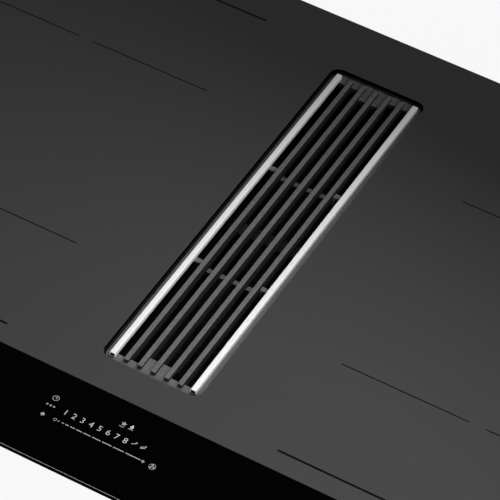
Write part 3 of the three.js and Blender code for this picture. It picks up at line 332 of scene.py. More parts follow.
def feed(tree, socket, value):
    """Links a socket to an input, or sets the input to a plain value."""
    if isinstance(value, bpy.types.NodeSocket):
        tree.links.new(value, socket)
    else:
        socket.default_value = value


def wire(tree, kind, settings=None, **inputs):
    """Adds a node; settings are its properties, and its inputs are given by name, or n and number."""
    made = tree.nodes.new(kind)
    for key, value in (settings or {}).items():
        setattr(made, key, value)
    for key, value in inputs.items():
        numbered = key[0] == "n" and key[1:].isdigit()
        feed(tree, made.inputs[int(key[1:]) if numbered else key.replace("_", " ")], value)
    return made


def reckon(tree, operation, *values, **settings):
    """Result of a math node on values or sockets."""
    inputs = {f"n{i}": value for i, value in enumerate(values)}
    return wire(tree, "ShaderNodeMath", {"operation": operation, **settings}, **inputs).outputs[0]


def blend(tree, share, first, second):
    """The first colour where the share is 0, the second where it is 1."""
    return wire(tree, "ShaderNodeMix", {"data_type": "RGBA"}, n0=share, n6=first, n7=second).outputs[2]


def spread(tree, value, **ends):
    """Carries a value from one range to another, both 0 to 1 where no end is given."""
    return wire(tree, "ShaderNodeMapRange", Value=value, **ends).outputs["Result"]


def place_on(tree):
    """Place on the object, in its own coordinates."""
    return wire(tree, "ShaderNodeTexCoord").outputs["Object"]


def noise(tree, place, scale, detail, roughness=0.5):
    return wire(tree, "ShaderNodeTexNoise", Vector=place, Scale=scale, Detail=detail,
                Roughness=roughness).outputs["Fac"]


def lay_out(build, defaults):
    """The node group of an effect, with the outputs that its function gives."""
    tree = bpy.data.node_groups.new(build.__name__, "ShaderNodeTree")
    kinds = {1: "NodeSocketFloat", 3: "NodeSocketVector", 4: "NodeSocketColor"}
    for label, default in defaults.items():
        size = len(default) if isinstance(default, tuple) else 1
        socket = tree.interface.new_socket(name=label, in_out="INPUT", socket_type=kinds[size])
        socket.default_value = default
    results = build(tree, tree.nodes.new("NodeGroupInput").outputs)
    for label, source in results.items():
        kind = kinds[4 if source.type == "RGBA" else 1]
        tree.interface.new_socket(name=label, in_out="OUTPUT", socket_type=kind)
    last = tree.nodes.new("NodeGroupOutput")
    for label, source in results.items():
        tree.links.new(source, last.inputs[label])
    return tree


def effect(**defaults):
    """Makes a node group, built once, of a function that lays its nodes; a call puts it in a tree."""
    def keep(build):
        def put(tree, **inputs):
            shared = bpy.data.node_groups.get(build.__name__) or lay_out(build, defaults)
            return wire(tree, "ShaderNodeGroup", {"node_tree": shared}, **inputs).outputs
        return put
    return keep


@effect(Colour=(0.5, 0.5, 0.5, 1), Fleck=(0.8, 0.8, 0.8, 1), Scale=900.0, Speckle=0.4)
def fine_grain(tree, given):
    """Fine cast, moulded or powdered surface: a speckled colour and a height."""
    place = place_on(tree)
    fine = noise(tree, place, given["Scale"], 3.0)
    broad = noise(tree, place, reckon(tree, "MULTIPLY", given["Scale"], 0.37), 2.0)
    height = reckon(tree, "MULTIPLY_ADD", broad, 0.5, fine)
    share = reckon(tree, "MULTIPLY", spread(tree, height, From_Min=0.55, From_Max=0.95), given["Speckle"])
    return {"Colour": blend(tree, share, given["Colour"], given["Fleck"]), "Height": height}


@effect(Roughness=0.4, Amount=0.1, Scale=12.0)
def handling_marks(tree, given):
    """Faint wipe marks: a roughness that wanders a little over the surface."""
    turned_place = wire(tree, "ShaderNodeMapping", Vector=place_on(tree), Rotation=(0, 0, 0.5),
                        Scale=(1.0, 3.0, 1.0)).outputs[0]
    cloud = noise(tree, turned_place, given["Scale"], 5.0, 0.62)
    sway = reckon(tree, "SUBTRACT", cloud, 0.5)
    return {"Roughness": reckon(tree, "MULTIPLY_ADD", sway, given["Amount"], given["Roughness"]),
            "Mask": cloud}


@effect(Colour=(0.8, 0.8, 0.8, 1), Roughness=0.3, Stretch=(2000.0, 12.0, 2000.0), Streak=0.15)
def drawn_lines(tree, given):
    """Drawn or rolled metal: fine lines along one direction."""
    stretched = wire(tree, "ShaderNodeMapping", Vector=place_on(tree), Scale=given["Stretch"]).outputs[0]
    lines = noise(tree, stretched, 1.0, 4.0)
    sway = reckon(tree, "SUBTRACT", lines, 0.5)
    bright = reckon(tree, "MULTIPLY_ADD", sway, given["Streak"], 1.0)
    tint = wire(tree, "ShaderNodeHueSaturation", Color=given["Colour"], Value=bright)
    return {"Colour": tint.outputs[0],
            "Roughness": reckon(tree, "MULTIPLY_ADD", sway, 0.3, given["Roughness"]), "Height": lines}


@effect(Colour=(0.5, 0.5, 0.5, 1), Amount=0.2)
def settled_dust(tree, given):
    """Dust that settles on faces that look up, more in some places than in others."""
    normal = wire(tree, "ShaderNodeNewGeometry").outputs["Normal"]
    up = wire(tree, "ShaderNodeSeparateXYZ", Vector=normal).outputs["Z"]
    cloud = noise(tree, place_on(tree), 28.0, 5.0)
    patch = reckon(tree, "MULTIPLY", spread(tree, up, From_Min=0.3), cloud)
    share = reckon(tree, "MULTIPLY", patch, given["Amount"], use_clamp=True)
    return {"Colour": blend(tree, share, given["Colour"], (0.32, 0.31, 0.29, 1))}


@effect(Colour=(0.6, 0.6, 0.6, 1), Scale=130.0)
def zinc_spangle(tree, given):
    """Zinc crystals of galvanised sheet: patches of differing tone and gloss."""
    place = place_on(tree)
    warp = wire(tree, "ShaderNodeTexNoise", Vector=place, Scale=90.0, Detail=2.0)
    bent = wire(tree, "ShaderNodeVectorMath", {"operation": "MULTIPLY_ADD"},
                n0=warp.outputs["Color"], n1=(0.006, 0.006, 0.006), n2=place)
    cells = wire(tree, "ShaderNodeTexVoronoi", Vector=bent.outputs[0], Scale=given["Scale"])
    tone = wire(tree, "ShaderNodeSeparateColor", Color=cells.outputs["Color"]).outputs
    bright = spread(tree, tone[0], To_Min=0.82, To_Max=1.08)
    tint = wire(tree, "ShaderNodeHueSaturation", Color=given["Colour"], Value=bright)
    return {"Colour": tint.outputs[0], "Roughness": spread(tree, tone[1], To_Min=0.4, To_Max=0.58)}


@effect(Wire=(0.7, 0.7, 0.7, 1), Cell=(0.1, 0.1, 0.1, 1), Scale=520.0)
def knitted_mesh(tree, given):
    """Knitted metal mesh: bright wires round small dark cells."""
    cells = wire(tree, "ShaderNodeTexVoronoi", {"feature": "DISTANCE_TO_EDGE"}, Vector=place_on(tree),
                 Scale=given["Scale"], Randomness=0.25)
    hollow = spread(tree, cells.outputs["Distance"], From_Min=0.1, From_Max=0.26)
    return {"Colour": blend(tree, hollow, given["Wire"], given["Cell"]),
            "Height": reckon(tree, "SUBTRACT", 1.0, hollow)}


@effect(Colour=(0.7, 0.3, 0.15, 1), Shade=(0.3, 0.12, 0.05, 1), Scale=260.0)
def twisted_strands(tree, given):
    """Twisted and varnished copper strands: a fine slanting ripple of light and dark."""
    ripple = wire(tree, "ShaderNodeTexWave", {"bands_direction": "DIAGONAL"}, Vector=place_on(tree),
                  Scale=given["Scale"], Distortion=3.0, Detail=2.0).outputs["Fac"]
    return {"Colour": blend(tree, ripple, given["Shade"], given["Colour"]), "Height": ripple}


@effect(Mask=(0.02, 0.12, 0.05, 1), Track=(0.05, 0.22, 0.09, 1), Pad=(0.6, 0.6, 0.58, 1))
def circuit_tracks(tree, given):
    """Solder mask over copper tracks, with small tinned pads."""
    place = place_on(tree)
    tracks = wire(tree, "ShaderNodeTexBrick", Vector=place, Scale=90.0, Mortar_Size=0.05,
                  Brick_Width=0.9, Row_Height=0.3, Color1=given["Mask"], Color2=given["Mask"],
                  Mortar=given["Track"])
    dots = wire(tree, "ShaderNodeTexVoronoi", Vector=place, Scale=170.0, Randomness=0.6)
    pad = reckon(tree, "LESS_THAN", dots.outputs["Distance"], 0.16)
    return {"Colour": blend(tree, pad, tracks.outputs["Color"], given["Pad"]), "Pad": pad}


# ---------------------------------------------------------------------------
# Finishes
# ---------------------------------------------------------------------------

FINISHES = {}


def material(lay):
    """Makes a material, built once and named after the function that gives its shader's inputs."""
    def fetch():
        made = bpy.data.materials.get(lay.__name__)
        if made is None:
            made = bpy.data.materials.new(lay.__name__)
            made.use_nodes = True
            tree = made.node_tree
            for label, value in lay(tree).items():
                feed(tree, tree.nodes["Principled BSDF"].inputs[label], value)
        return made
    FINISHES[lay.__name__] = fetch
    return fetch


def looks():
    return bpy.context.scene.cooktop_looks


def rgba(colour, factor=1):
    """Opaque colour, from three values or from one for a grey, times a factor."""
    three = (colour,) * 3 if isinstance(colour, float) else colour[:3]
    return (*(value * factor for value in three), 1)


def bumped(tree, height, strength, distance):
    bump = wire(tree, "ShaderNodeBump", Height=height, Strength=strength, Distance=distance)
    return bump.outputs[0]


def dusted(tree, colour, amount):
    return settled_dust(tree, Colour=colour, Amount=amount)["Colour"]


def grained(tree, colour, fleck, scale, speckle, roughness, bump, specular=0.5, dust=0.0):
    """Powder coat, moulded plastic or enamel."""
    grain = fine_grain(tree, Colour=rgba(colour), Fleck=rgba(fleck), Scale=scale, Speckle=speckle)
    marks = handling_marks(tree, Roughness=roughness, Amount=0.12, Scale=14.0)
    return {"Base Color": dusted(tree, grain["Colour"], dust) if dust else grain["Colour"],
            "Roughness": marks["Roughness"], "Specular IOR Level": specular,
            "Normal": bumped(tree, grain["Height"], bump, 0.0002)}


def drawn(tree, colour, stretch, roughness, metallic, streak, specular=0.5, dust=0.0):
    """Metal with fine lines along one direction."""
    lines = drawn_lines(tree, Colour=rgba(colour), Roughness=roughness, Stretch=stretch, Streak=streak)
    return {"Base Color": dusted(tree, lines["Colour"], dust) if dust else lines["Colour"],
            "Metallic": metallic, "Roughness": lines["Roughness"], "Specular IOR Level": specular,
            "Normal": bumped(tree, lines["Height"], 0.06, 0.0001)}


@material
def satin_glass(tree):
    """Black ceramic glass under a satin decor that scatters the light evenly."""
    base = looks().glass_colour
    grain = fine_grain(tree, Colour=rgba(base), Fleck=rgba(base, 1.12), Scale=1400.0, Speckle=0.5)
    marks = handling_marks(tree, Roughness=0.5, Amount=0.1, Scale=9.0)
    return {"Base Color": grain["Colour"], "Roughness": marks["Roughness"],
            "Specular IOR Level": looks().satin_sheen,
            "Normal": bumped(tree, grain["Height"], 0.05, 0.00005)}


@material
def gloss_glass(tree):
    """Polished black ceramic glass of the control strip."""
    grain = fine_grain(tree, Colour=rgba(0.0004), Fleck=rgba(0.001), Scale=700.0, Speckle=0.3)
    marks = handling_marks(tree, Roughness=0.06, Amount=0.05, Scale=16.0)
    return {"Base Color": grain["Colour"], "Roughness": marks["Roughness"], "Specular IOR Level": 0.35}


@material
def cut_edge(tree):
    """Black edge of the glass below its arris, with no gleam."""
    return grained(tree, 0.0006, 0.0015, 1200.0, 0.3, 0.3, 0.02, specular=0.0)


@material
def ground_edge(tree):
    """Finely ground arris round the top of the glass, its pale tone partly a painted highlight."""
    return grained(tree, looks().arris_colour, 0.34, 700.0, 0.2, 0.4, 0.02)


@material
def zone_enamel(tree):
    """Black enamel of the cooking-zone lines."""
    return grained(tree, 0.0015, 0.004, 1600.0, 0.3, 0.45, 0.05, specular=0.2)


@material
def print_enamel(tree):
    """Pale enamel of the control print."""
    return grained(tree, looks().print_colour, 0.75, 3000.0, 0.2, 0.5, 0.03, specular=0.2)


@material
def dim_enamel(tree):
    """Duller enamel of the slider dashes and the small signs."""
    return grained(tree, rgba(looks().print_colour, 0.64), 0.5, 3000.0, 0.2, 0.5, 0.03, specular=0.2)


@material
def grille_coat(tree):
    """Grey fine-texture powder coat of the grille."""
    base = looks().grille_colour
    return grained(tree, rgba(base, 0.86), rgba(base, 1.9), 900.0, 0.5, 0.55, 0.35, specular=0.35)


@material
def dark_coat(tree):
    """The grille coat made near-black on the flanks and ends of the blades, the ends of the opening and
    inside the rails: painted shade.
    """
    return grained(tree, (0.021, 0.021, 0.022), 0.055, 900.0, 0.5, 0.6, 0.35, specular=0.2)


@material
def hollow_coat(tree):
    """Almost black coat on the side flanges inside the opening: painted shade deep in the recess."""
    return grained(tree, 0.003, 0.008, 900.0, 0.5, 0.7, 0.35, specular=0.1)


@material
def anodised_rail(tree):
    """Satin anodised aluminium of the two rails."""
    return drawn(tree, looks().rail_colour, (2600.0, 10.0, 2600.0), 0.5, 0.1, 0.05, specular=0.3)


@material
def bright_steel(tree):
    """Stainless steel of the screws, the flap pin and the edging of the filters."""
    return drawn(tree, (0.62, 0.62, 0.61), (1500.0, 1500.0, 60.0), 0.28, 1.0, 0.2)


@material
def spring_steel(tree):
    """Bright strip of the hold-down springs."""
    return drawn(tree, (0.58, 0.58, 0.56), (1400.0, 24.0, 24.0), 0.27, 1.0, 0.25)


@material
def rolled_aluminium(tree):
    """Sheet of the coil plates, and the heat sinks."""
    return drawn(tree, (0.75, 0.76, 0.77), (1300.0, 18.0, 1300.0), 0.34, 1.0, 0.18, dust=0.1)


@material
def black_sheet(tree):
    """Painted sheet steel of the frame under the glass and of the motor's stator."""
    return grained(tree, (0.022, 0.022, 0.024), 0.05, 1100.0, 0.3, 0.42, 0.15, dust=0.1)


@material
def zinc_sheet(tree):
    """Galvanised sheet steel of the tray and of the motor's rotor."""
    spangle = zinc_spangle(tree, Colour=(0.56, 0.57, 0.58, 1), Scale=120.0)
    marks = handling_marks(tree, Roughness=spangle["Roughness"], Amount=0.15, Scale=10.0)
    return {"Base Color": dusted(tree, spangle["Colour"], 0.15), "Metallic": 0.85,
            "Roughness": marks["Roughness"], "Normal": bumped(tree, marks["Mask"], 0.08, 0.0003)}


@material
def moulded_black(tree):
    """Spark-eroded black moulding of the casing."""
    return grained(tree, (0.012, 0.012, 0.013), (0.035, 0.035, 0.036), 1300.0, 0.35, 0.5, 0.3, 0.45, 0.12)


@material
def smooth_black(tree):
    """Smoother black moulding of the cassette, the drip tray, the collar, the gland and the fans."""
    return grained(tree, (0.016, 0.016, 0.017), 0.03, 1800.0, 0.25, 0.36, 0.12, dust=0.05)


@material
def moulded_grey(tree):
    """Grey moulding of the impeller, the flaps, the terminal box and the touch carrier."""
    return grained(tree, (0.075, 0.077, 0.082), (0.14, 0.14, 0.15), 1300.0, 0.3, 0.48, 0.25, dust=0.08)


@material
def seal_rubber(tree):
    """Dull rubber of the seal, the mount ring and the worktop tape."""
    return grained(tree, 0.018, 0.05, 600.0, 0.4, 0.8, 0.4, 0.3, 0.15)


@material
def filter_mesh(tree):
    """Layers of knitted stainless mesh, the wires darkened to a painted shade for their depth under the
    grille.
    """
    knit = knitted_mesh(tree, Wire=(0.3, 0.3, 0.29, 1), Cell=rgba(0.015), Scale=520.0)
    return {"Base Color": knit["Colour"], "Metallic": 0.9, "Roughness": 0.35,
            "Normal": bumped(tree, knit["Height"], 0.6, 0.0005)}


@material
def litz_copper(tree):
    """Varnished litz wire of the coils."""
    twist = twisted_strands(tree, Colour=(0.72, 0.3, 0.14, 1), Shade=(0.34, 0.12, 0.05, 1), Scale=300.0)
    return {"Base Color": twist["Colour"], "Metallic": 0.8, "Roughness": 0.38,
            "Normal": bumped(tree, twist["Height"], 0.4, 0.0003)}


@material
def ferrite_black(tree):
    """Pressed ferrite and its carrier below the coils."""
    return grained(tree, (0.03, 0.03, 0.032), 0.09, 1000.0, 0.4, 0.6, 0.3)


@material
def circuit_green(tree):
    """Circuit boards with their tracks and tinned pads."""
    tracks = circuit_tracks(tree, Mask=(0.012, 0.1, 0.035, 1), Track=(0.03, 0.19, 0.07, 1),
                            Pad=(0.62, 0.6, 0.55, 1))
    return {"Base Color": dusted(tree, tracks["Colour"], 0.1), "Metallic": tracks["Pad"],
            "Roughness": 0.38}


# ---------------------------------------------------------------------------
# Sizes and colours that a user would change
# ---------------------------------------------------------------------------

class CooktopSizes(bpy.types.PropertyGroup):
    """Sizes of the fine work on the cooktop"""
    arris: bpy.props.FloatProperty(name="Arris", description="Width of the ground edge of the glass",
                                   default=0.0006, min=0.0001, max=0.0015, unit="LENGTH")
    strip_edge: bpy.props.FloatProperty(name="Strip edge", default=-0.1781, unit="LENGTH",
                                        description="Y of the line between satin and polished glass")
    print_height: bpy.props.FloatProperty(name="Print height", default=0.00003, unit="LENGTH",
                                          description="How far the enamel stands on the glass")
    digit_height: bpy.props.FloatProperty(name="Digit height", description="Height of the power levels",
                                          default=0.0048, unit="LENGTH")
    litz_turns: bpy.props.IntProperty(name="Litz turns", description="Turns of litz wire in each coil",
                                      default=16, min=8, max=22)
    lamp_distance: bpy.props.FloatProperty(name="Lamp height", default=0.54, unit="LENGTH",
                                           description="Height of the main lamp above the glass")


class CooktopLooks(bpy.types.PropertyGroup):
    """Colours of the cooktop's main finishes"""
    glass_colour: bpy.props.FloatVectorProperty(name="Glass", description="Satin glass",
                                                subtype="COLOR", default=(0.052, 0.052, 0.0524))
    satin_sheen: bpy.props.FloatProperty(name="Satin sheen", description="Specular level of the satin glass",
                                         default=0.25, min=0, max=1, subtype="FACTOR")
    # The pale arris tone is partly a painted highlight along the outer edge.
    arris_colour: bpy.props.FloatVectorProperty(name="Arris", description="Ground edge of the glass",
                                                subtype="COLOR", default=(0.3, 0.3, 0.3))
    print_colour: bpy.props.FloatVectorProperty(name="Print", description="Enamel of the controls",
                                                subtype="COLOR", default=(0.52, 0.52, 0.52))
    grille_colour: bpy.props.FloatVectorProperty(name="Grille", description="Powder coat of the grille",
                                                 subtype="COLOR", default=(0.118, 0.118, 0.1185))
    rail_colour: bpy.props.FloatVectorProperty(name="Rails", description="Anodised rails of the grille",
                                               subtype="COLOR", default=(0.93, 0.93, 0.92))


# ---------------------------------------------------------------------------
# Glass and its print
# ---------------------------------------------------------------------------

class COOKTOP_OT_glass(bpy.types.Operator):
    """Glass panel with ground edges, the mouth of the air inlet and the polished control strip"""
    bl_idname = "cooktop.glass"
    bl_label = "Glass panel"

    def execute(self, context):
        sizes = context.scene.cooktop_sizes
        low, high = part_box("glass_panel")
        high.z -= sizes.print_height
        panel = slab("glass_panel_finished", low, high, corner=5 * MM, steps=8)
        carve(panel, plan_slab("mouth", 0, INLET_Y, INLET_WIDTH, INLET_LENGTH, -2, 8, 8, 8))
        ease(panel, sizes.arris / MM, segments=2, angle=50)
        edit(panel)
        bpy.ops.mesh.select_all(action="SELECT")
        bpy.ops.mesh.bisect(plane_co=(0, sizes.strip_edge, 0), plane_no=(0, 1, 0))
        leave(panel)
        smooth(panel, 50)
        dress(panel, "gloss_glass", "hob", "glass", "glass_panel")
        rim = 6 * MM
        coat_faces(panel, "satin_glass",
                   lambda at, normal: normal.z > 0.99 and at.y > sizes.strip_edge or 0.1 < normal.z < 0.99)
        coat_faces(panel, "cut_edge", lambda at, normal: normal.z < 0.1)
        # Partly painted highlight: only the outer arris gets the pale ground finish; the arris round the
        # mouth stays satin.
        coat_faces(panel, "ground_edge", lambda at, normal: 0.1 < normal.z < 0.99
                   and (abs(at.x) > high.x - rim or abs(at.y) > high.y - rim))
        return {"FINISHED"}


def enamel(name, x, y, width, length, corner, steps):
    """Patch of enamel on the glass, in millimetres on the plan."""
    lift = bpy.context.scene.cooktop_sizes.print_height / MM
    return plan_slab(name, x, y, width, length, (ENAMEL_MIDDLE - ENAMEL_THICKNESS / 2) * lift,
                     ENAMEL_THICKNESS * lift, corner, steps)


class COOKTOP_OT_zone_lines(bpy.types.Operator):
    """Black lines that mark the front and back of the cooking zones and the field between them"""
    bl_idname = "cooktop.zone_lines"
    bl_label = "Zone lines"

    def execute(self, context):
        lines = []
        for _, sign in SIDES:
            for y in (220.8, -161.1):
                lines.append(enamel("line", sign * 218, y, 216, 1.75, 0.8, 4))
            for y in (125.8, -66.5):
                lines.append(enamel("line", sign * 160.65, y, 101.3, 0.95, 0.4, 3))
                lines.append(enamel("line", sign * 275.3, y, 101.4, 0.95, 0.4, 3))
        dress(joined("zone_lines", lines), "zone_enamel", "hob", "glass")
        return {"FINISHED"}


def lettered(text, x, y, height):
    """Flat figure of enamel, made from text, centred on the plan."""
    lift = bpy.context.scene.cooktop_sizes.print_height
    half_type = 0.1
    hold()
    bpy.ops.object.text_add()
    words = bpy.context.object.data
    words.body = text
    words.align_x = words.align_y = "CENTER"
    words.offset = -0.006
    words.extrude = half_type
    words.resolution_u = 4
    bpy.ops.object.convert(target="MESH")
    figure = named(f"figure_{text}")
    points = [corner.co for corner in figure.data.vertices]
    low = Vector(min(p[i] for p in points) for i in range(3))
    high = Vector(max(p[i] for p in points) for i in range(3))
    scale = height / (high.y - low.y)
    flat = Matrix.Diagonal((scale, scale, ENAMEL_THICKNESS / 2 * lift / half_type, 1))
    place = Matrix.Translation((x * MM, y * MM, GLASS_TOP - ENAMEL_MIDDLE * lift))
    figure.data.transform(place @ flat @ Matrix.Translation(-(low + high) / 2))
    return weld(figure, face_out=False)


def disc(name, x, y, radius, sides=28):
    """Round patch of enamel."""
    lift = bpy.context.scene.cooktop_sizes.print_height
    return post(name, (x * MM, y * MM, GLASS_TOP - ENAMEL_MIDDLE * lift), radius * MM,
                ENAMEL_THICKNESS * lift, sides)


def ring(name, x, y, radius, width, sides=28):
    """Round line of enamel."""
    hole = post("ring_hole", (x * MM, y * MM, GLASS_TOP), (radius - width) * MM, 2 * MM, sides)
    return carve(disc(name, x, y, radius, sides), hole)


def turn(piece, x, y, degrees):
    """Turns a patch about a point of the plan."""
    pivot = Matrix.Translation((x * MM, y * MM, 0))
    piece.data.transform(pivot @ Matrix.Rotation(math.radians(degrees), 4, "Z") @ pivot.inverted())
    return piece


class COOKTOP_OT_control_print(bpy.types.Operator):
    """Power levels 1 to 8, the slider, and plain signs for the timer, the boost, the steam and the fan"""
    bl_idname = "cooktop.control_print"
    bl_label = "Control print"

    def execute(self, context):
        digit_height = context.scene.cooktop_sizes.digit_height
        digits = [lettered(str(level), FIRST_DIGIT_X + DIGIT_STEP * (level - 1), DIGIT_Y, digit_height)
                  for level in range(1, 9)]
        dress(joined("control_figures", digits + [self.drop(14.6, -197.2)]), "print_enamel", "hob", "glass")

        signs = [enamel("foot", 14.6, -199.3, 3.8, 0.6, 0.2, 2),
                 self.star(8.3, -197.3), enamel("foot", 7.9, -200.3, 3.9, 0.5, 0.2, 2)]
        signs += self.fan(44.3, -220.3)
        signs += self.slider()
        signs += self.clock(-43.9, -202.4)
        signs += [enamel("mark", -43.6 + 2.7 * i, -210, 1.5, 1.5, 0.6, 3) for i in (-1, 0, 1)]
        signs += [turn(enamel("mark", *DIAMOND, 2.6, 2.6, 0.2, 2), *DIAMOND, 45)]
        signs += self.steam(23.0, -209.3, 1) + self.steam(30.1, -209.1, 2)
        signs += [enamel("mark", CROSS_X + x, CROSS_Y, width, length, 0.15, 2)
                  for x, width, length in ((0, 0.8, 2.8), (-0.88, 1.0, 0.8), (0.88, 1.0, 0.8))]
        dress(joined("control_signs", signs), "dim_enamel", "hob", "glass")
        return {"FINISHED"}

    @staticmethod
    def slider():
        """Ring for nought, a dot, and nine dashes that grow longer, the last longest."""
        made = [ring("zero", -34.3, SLIDER_Y, 1.3, 0.36), disc("slider_dot", -31.3, SLIDER_Y, 0.55, 12)]
        start, gap = -28.9, 1.1
        for step in range(9):
            length = 1.8 + 1.0 * step + (2.2 if step == 8 else 0)
            made.append(enamel("dash", start + length / 2, SLIDER_Y, length, 0.78, 0.3, 2))
            start += length + gap
        return made

    @staticmethod
    def clock(x, y):
        hand = enamel("hand", x, y + 0.75, 0.6, 1.9, 0.2, 2)
        short = enamel("hand", x + 0.45, y - 0.05, 1.3, 0.6, 0.2, 2)
        return [ring("dial", x, y, 2.5, 0.46), hand, short]

    @staticmethod
    def star(x, y):
        """Disc of ten corners, every other one drawn in."""
        piece = disc("star", x, y, 2.35, 10)
        middle = Vector((x, y)) * MM
        for corner in piece.data.vertices:
            arm = corner.co.xy - middle
            if round((math.degrees(math.atan2(arm.y, arm.x)) - 90) / 36) % 2:
                corner.co.xy = middle + arm * 0.45
        return piece

    @staticmethod
    def drop(x, y):
        """Disc whose upper half is drawn up to a point."""
        piece = disc("drop", x, y, 1.35, 20)
        for corner in piece.data.vertices:
            rise = corner.co.y / MM - y
            if rise > 0:
                corner.co.x = x * MM + (corner.co.x - x * MM) * (1 - rise / 1.5)
                corner.co.y = (y + rise * 1.9) * MM
        return piece

    @staticmethod
    def steam(x, y, count):
        bars = [turn(enamel("bar", x, y + 1.1 * (i - 0.5 * (count - 1)), 3.6, 0.7, 0.3, 2), x, y, 28)
                for i in range(count)]
        return bars + [disc("spot", x + 1.5, y + 1.6, 0.75, 12)]

    @staticmethod
    def fan(x, y):
        petals = [turn(disc("petal", x, y + 1.28, 0.85, 14), x, y, 120 * i + 18) for i in range(3)]
        return [ring("fan_ring", x, y, 2.65, 0.32)] + petals


# ---------------------------------------------------------------------------
# Air grille and cassette
# ---------------------------------------------------------------------------

class COOKTOP_OT_grille(bpy.types.Operator):
    """Powder-coated grille plate, five blades, two hollow rails and the seal below them"""
    bl_idname = "cooktop.grille"
    bl_label = "Air grille"

    def execute(self, context):
        node = "grille_frame"
        plate = smooth(ease(self.square_straps(refined(node, 0)), 0.1), 22)
        dress(plate, "grille_coat", NODES[node]["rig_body"], SLOTS[node], node)
        # Painted shade: the end walls inside the opening get a near-black coat.
        coat_faces(plate, "dark_coat", lambda at, normal: abs(normal.y) > 0.7 and self.in_opening(at))
        flange_top = depth(4.8)
        # Painted shade: the side flanges deep in the opening get an almost black coat.
        coat_faces(plate, "hollow_coat", lambda at, normal: abs(normal.x) > 0.7 and at.z < flange_top
                   and self.in_opening(at))
        for number in range(1, 6):
            blade = finished(f"grille_blade_{number}", "grille_coat", 0.12, 2, 30)
            # Painted shade: the flanks and ends of each blade get a near-black coat.
            coat_faces(blade, "dark_coat", lambda at, normal: normal.z < 0.3)
        wall = 0.55 * MM
        for side, _ in SIDES:
            rail = finished(f"grille_rail_{side}", "anodised_rail", 0.12, 2, 50)
            low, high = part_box(f"grille_rail_{side}")
            # Painted shade: the inside of each hollow rail gets a near-black coat.
            coat_faces(rail, "dark_coat", lambda at, normal: low.x + wall < at.x < high.x - wall
                       and low.z + wall < at.z < high.z - wall)
        finished("grille_seal", "seal_rubber", 0.2, 1)
        return {"FINISHED"}

    @classmethod
    def in_opening(cls, at):
        """Whether a point lies inside the opening of the plate and off the straps."""
        return (abs(at.x) < OPENING_HALF * MM and OPENING_FRONT * MM < at.y < OPENING_BACK * MM
                and not cls.on_strap(at))

    @staticmethod
    def on_strap(at):
        """Whether a point lies on one of the two straps between the sides of the opening."""
        off = abs(abs(at.y - INLET_Y * MM) - STRAP_PLACE * MM)
        return abs(at.x) < (OPENING_HALF - 0.2) * MM and off < STRAP_HALF * MM

    @classmethod
    def square_straps(cls, plate):
        """Carries the straps level to the outer blades, where they fold square down."""
        slope, fold, thick = 24.5 * MM, 24.3 * MM, 1.5 * MM
        for corner in plate.data.vertices:
            if cls.on_strap(corner.co) and abs(corner.co.x) > slope:
                upper = corner.co.z > depth(5.5) or depth(11.5) < corner.co.z < depth(9)
                corner.co.x = math.copysign(fold if upper else fold + thick, corner.co.x)
        return plate


class COOKTOP_OT_cassette(bpy.types.Operator):
    """Filter cassette with its grip bar, pleated mesh filters and drip tray"""
    bl_idname = "cooktop.cassette"
    bl_label = "Filter cassette"

    def execute(self, context):
        finished("cassette_frame", "smooth_black", 0.35, 2, 50)
        finished("cassette_handle", "smooth_black", 1.4, 4, 50)
        finished("drip_tray", "smooth_black", 0.5, 2, 50)
        for side, sign in SIDES:
            node = f"grease_filter_{side}"
            finished(node, "filter_mesh", 0.25, 2, 30, 60)
            self.edging(side, sign, *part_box(node))
        return {"FINISHED"}

    @staticmethod
    def edging(side, sign, low, high):
        """Folded strips that hold the top and the foot of the pleats."""
        run, rise = 22.6, 65.5
        lean = sign * math.atan2(run, rise)
        half_x, half_z, past_end, wall, groove = 2.6 * MM, 2.4 * MM, 0.4 * MM, 0.6 * MM, 3.6 * MM
        strips = []
        for name, x, z, inward in (("top", 29.2 * MM, high.z - 2.2 * MM, -1),
                                   ("foot", 6.4 * MM, low.z + 3.2 * MM, 1)):
            strip = slab(f"edging_{name}", (-half_x, low.y - past_end, -half_z),
                         (half_x, high.y + past_end, half_z))
            edit(strip)
            choose(strip, "FACE", lambda face: face.normal.z * inward > 0.9)
            bpy.ops.mesh.inset(thickness=wall)
            bpy.ops.mesh.extrude_region_move(TRANSFORM_OT_translate={"value": (0, 0, -inward * groove)})
            leave(strip)
            strip.data.transform(Matrix.Translation((sign * x, 0, z)) @ Matrix.Rotation(lean, 4, "Y"))
            strips.append(ease(strip, 0.2))
        dress(smooth(joined(f"filter_edging_{side}", strips)), "bright_steel", "filter_cassette",
              "stainless_steel")


# ---------------------------------------------------------------------------
# Casing
# ---------------------------------------------------------------------------

class COOKTOP_OT_casing(bpy.types.Operator):
    """Inlet collar, well, air box and service lid, with their ribs and screws"""
    bl_idname = "cooktop.casing"
    bl_label = "Air casing"

    def execute(self, context):
        finished("inlet_collar", "smooth_black", 0.3, 2, 50)
        finished("inlet_well", "moulded_black", 0.7, 2, 40)
        finished("air_box", "moulded_black", 1.0, 3, 30)
        finished("service_lid", "moulded_black", 0.35, 2, 40)
        self.floor_ribs()
        level = HEIGHT - 57.05           # underside of the flange of the well
        flange = [(x, y, level) for x in (-71, 71) for y in (-150, -90, -30, 30, 90, 150, 205)
                  if x < 0 or y < -120 or y > 190]
        screws("well_screws", flange, (0, 0, -1))
        return {"FINISHED"}

    @staticmethod
    def floor_ribs():
        """Low ribs moulded across the floor of the air box, beside the lid."""
        top, thick, width = 195.6, 2.0, 2.4
        ribs = [plan_slab("rib", x, 61, width, 258, top, thick) for x in range(62, 213, 30)]
        ribs += [plan_slab("rib", 144, y, 184, width, top, thick) for y in (-30, 60, 150)]
        dress(smooth(ease(joined("air_box_ribs", ribs), 0.5)), "moulded_black", "hob", "black_plastic")


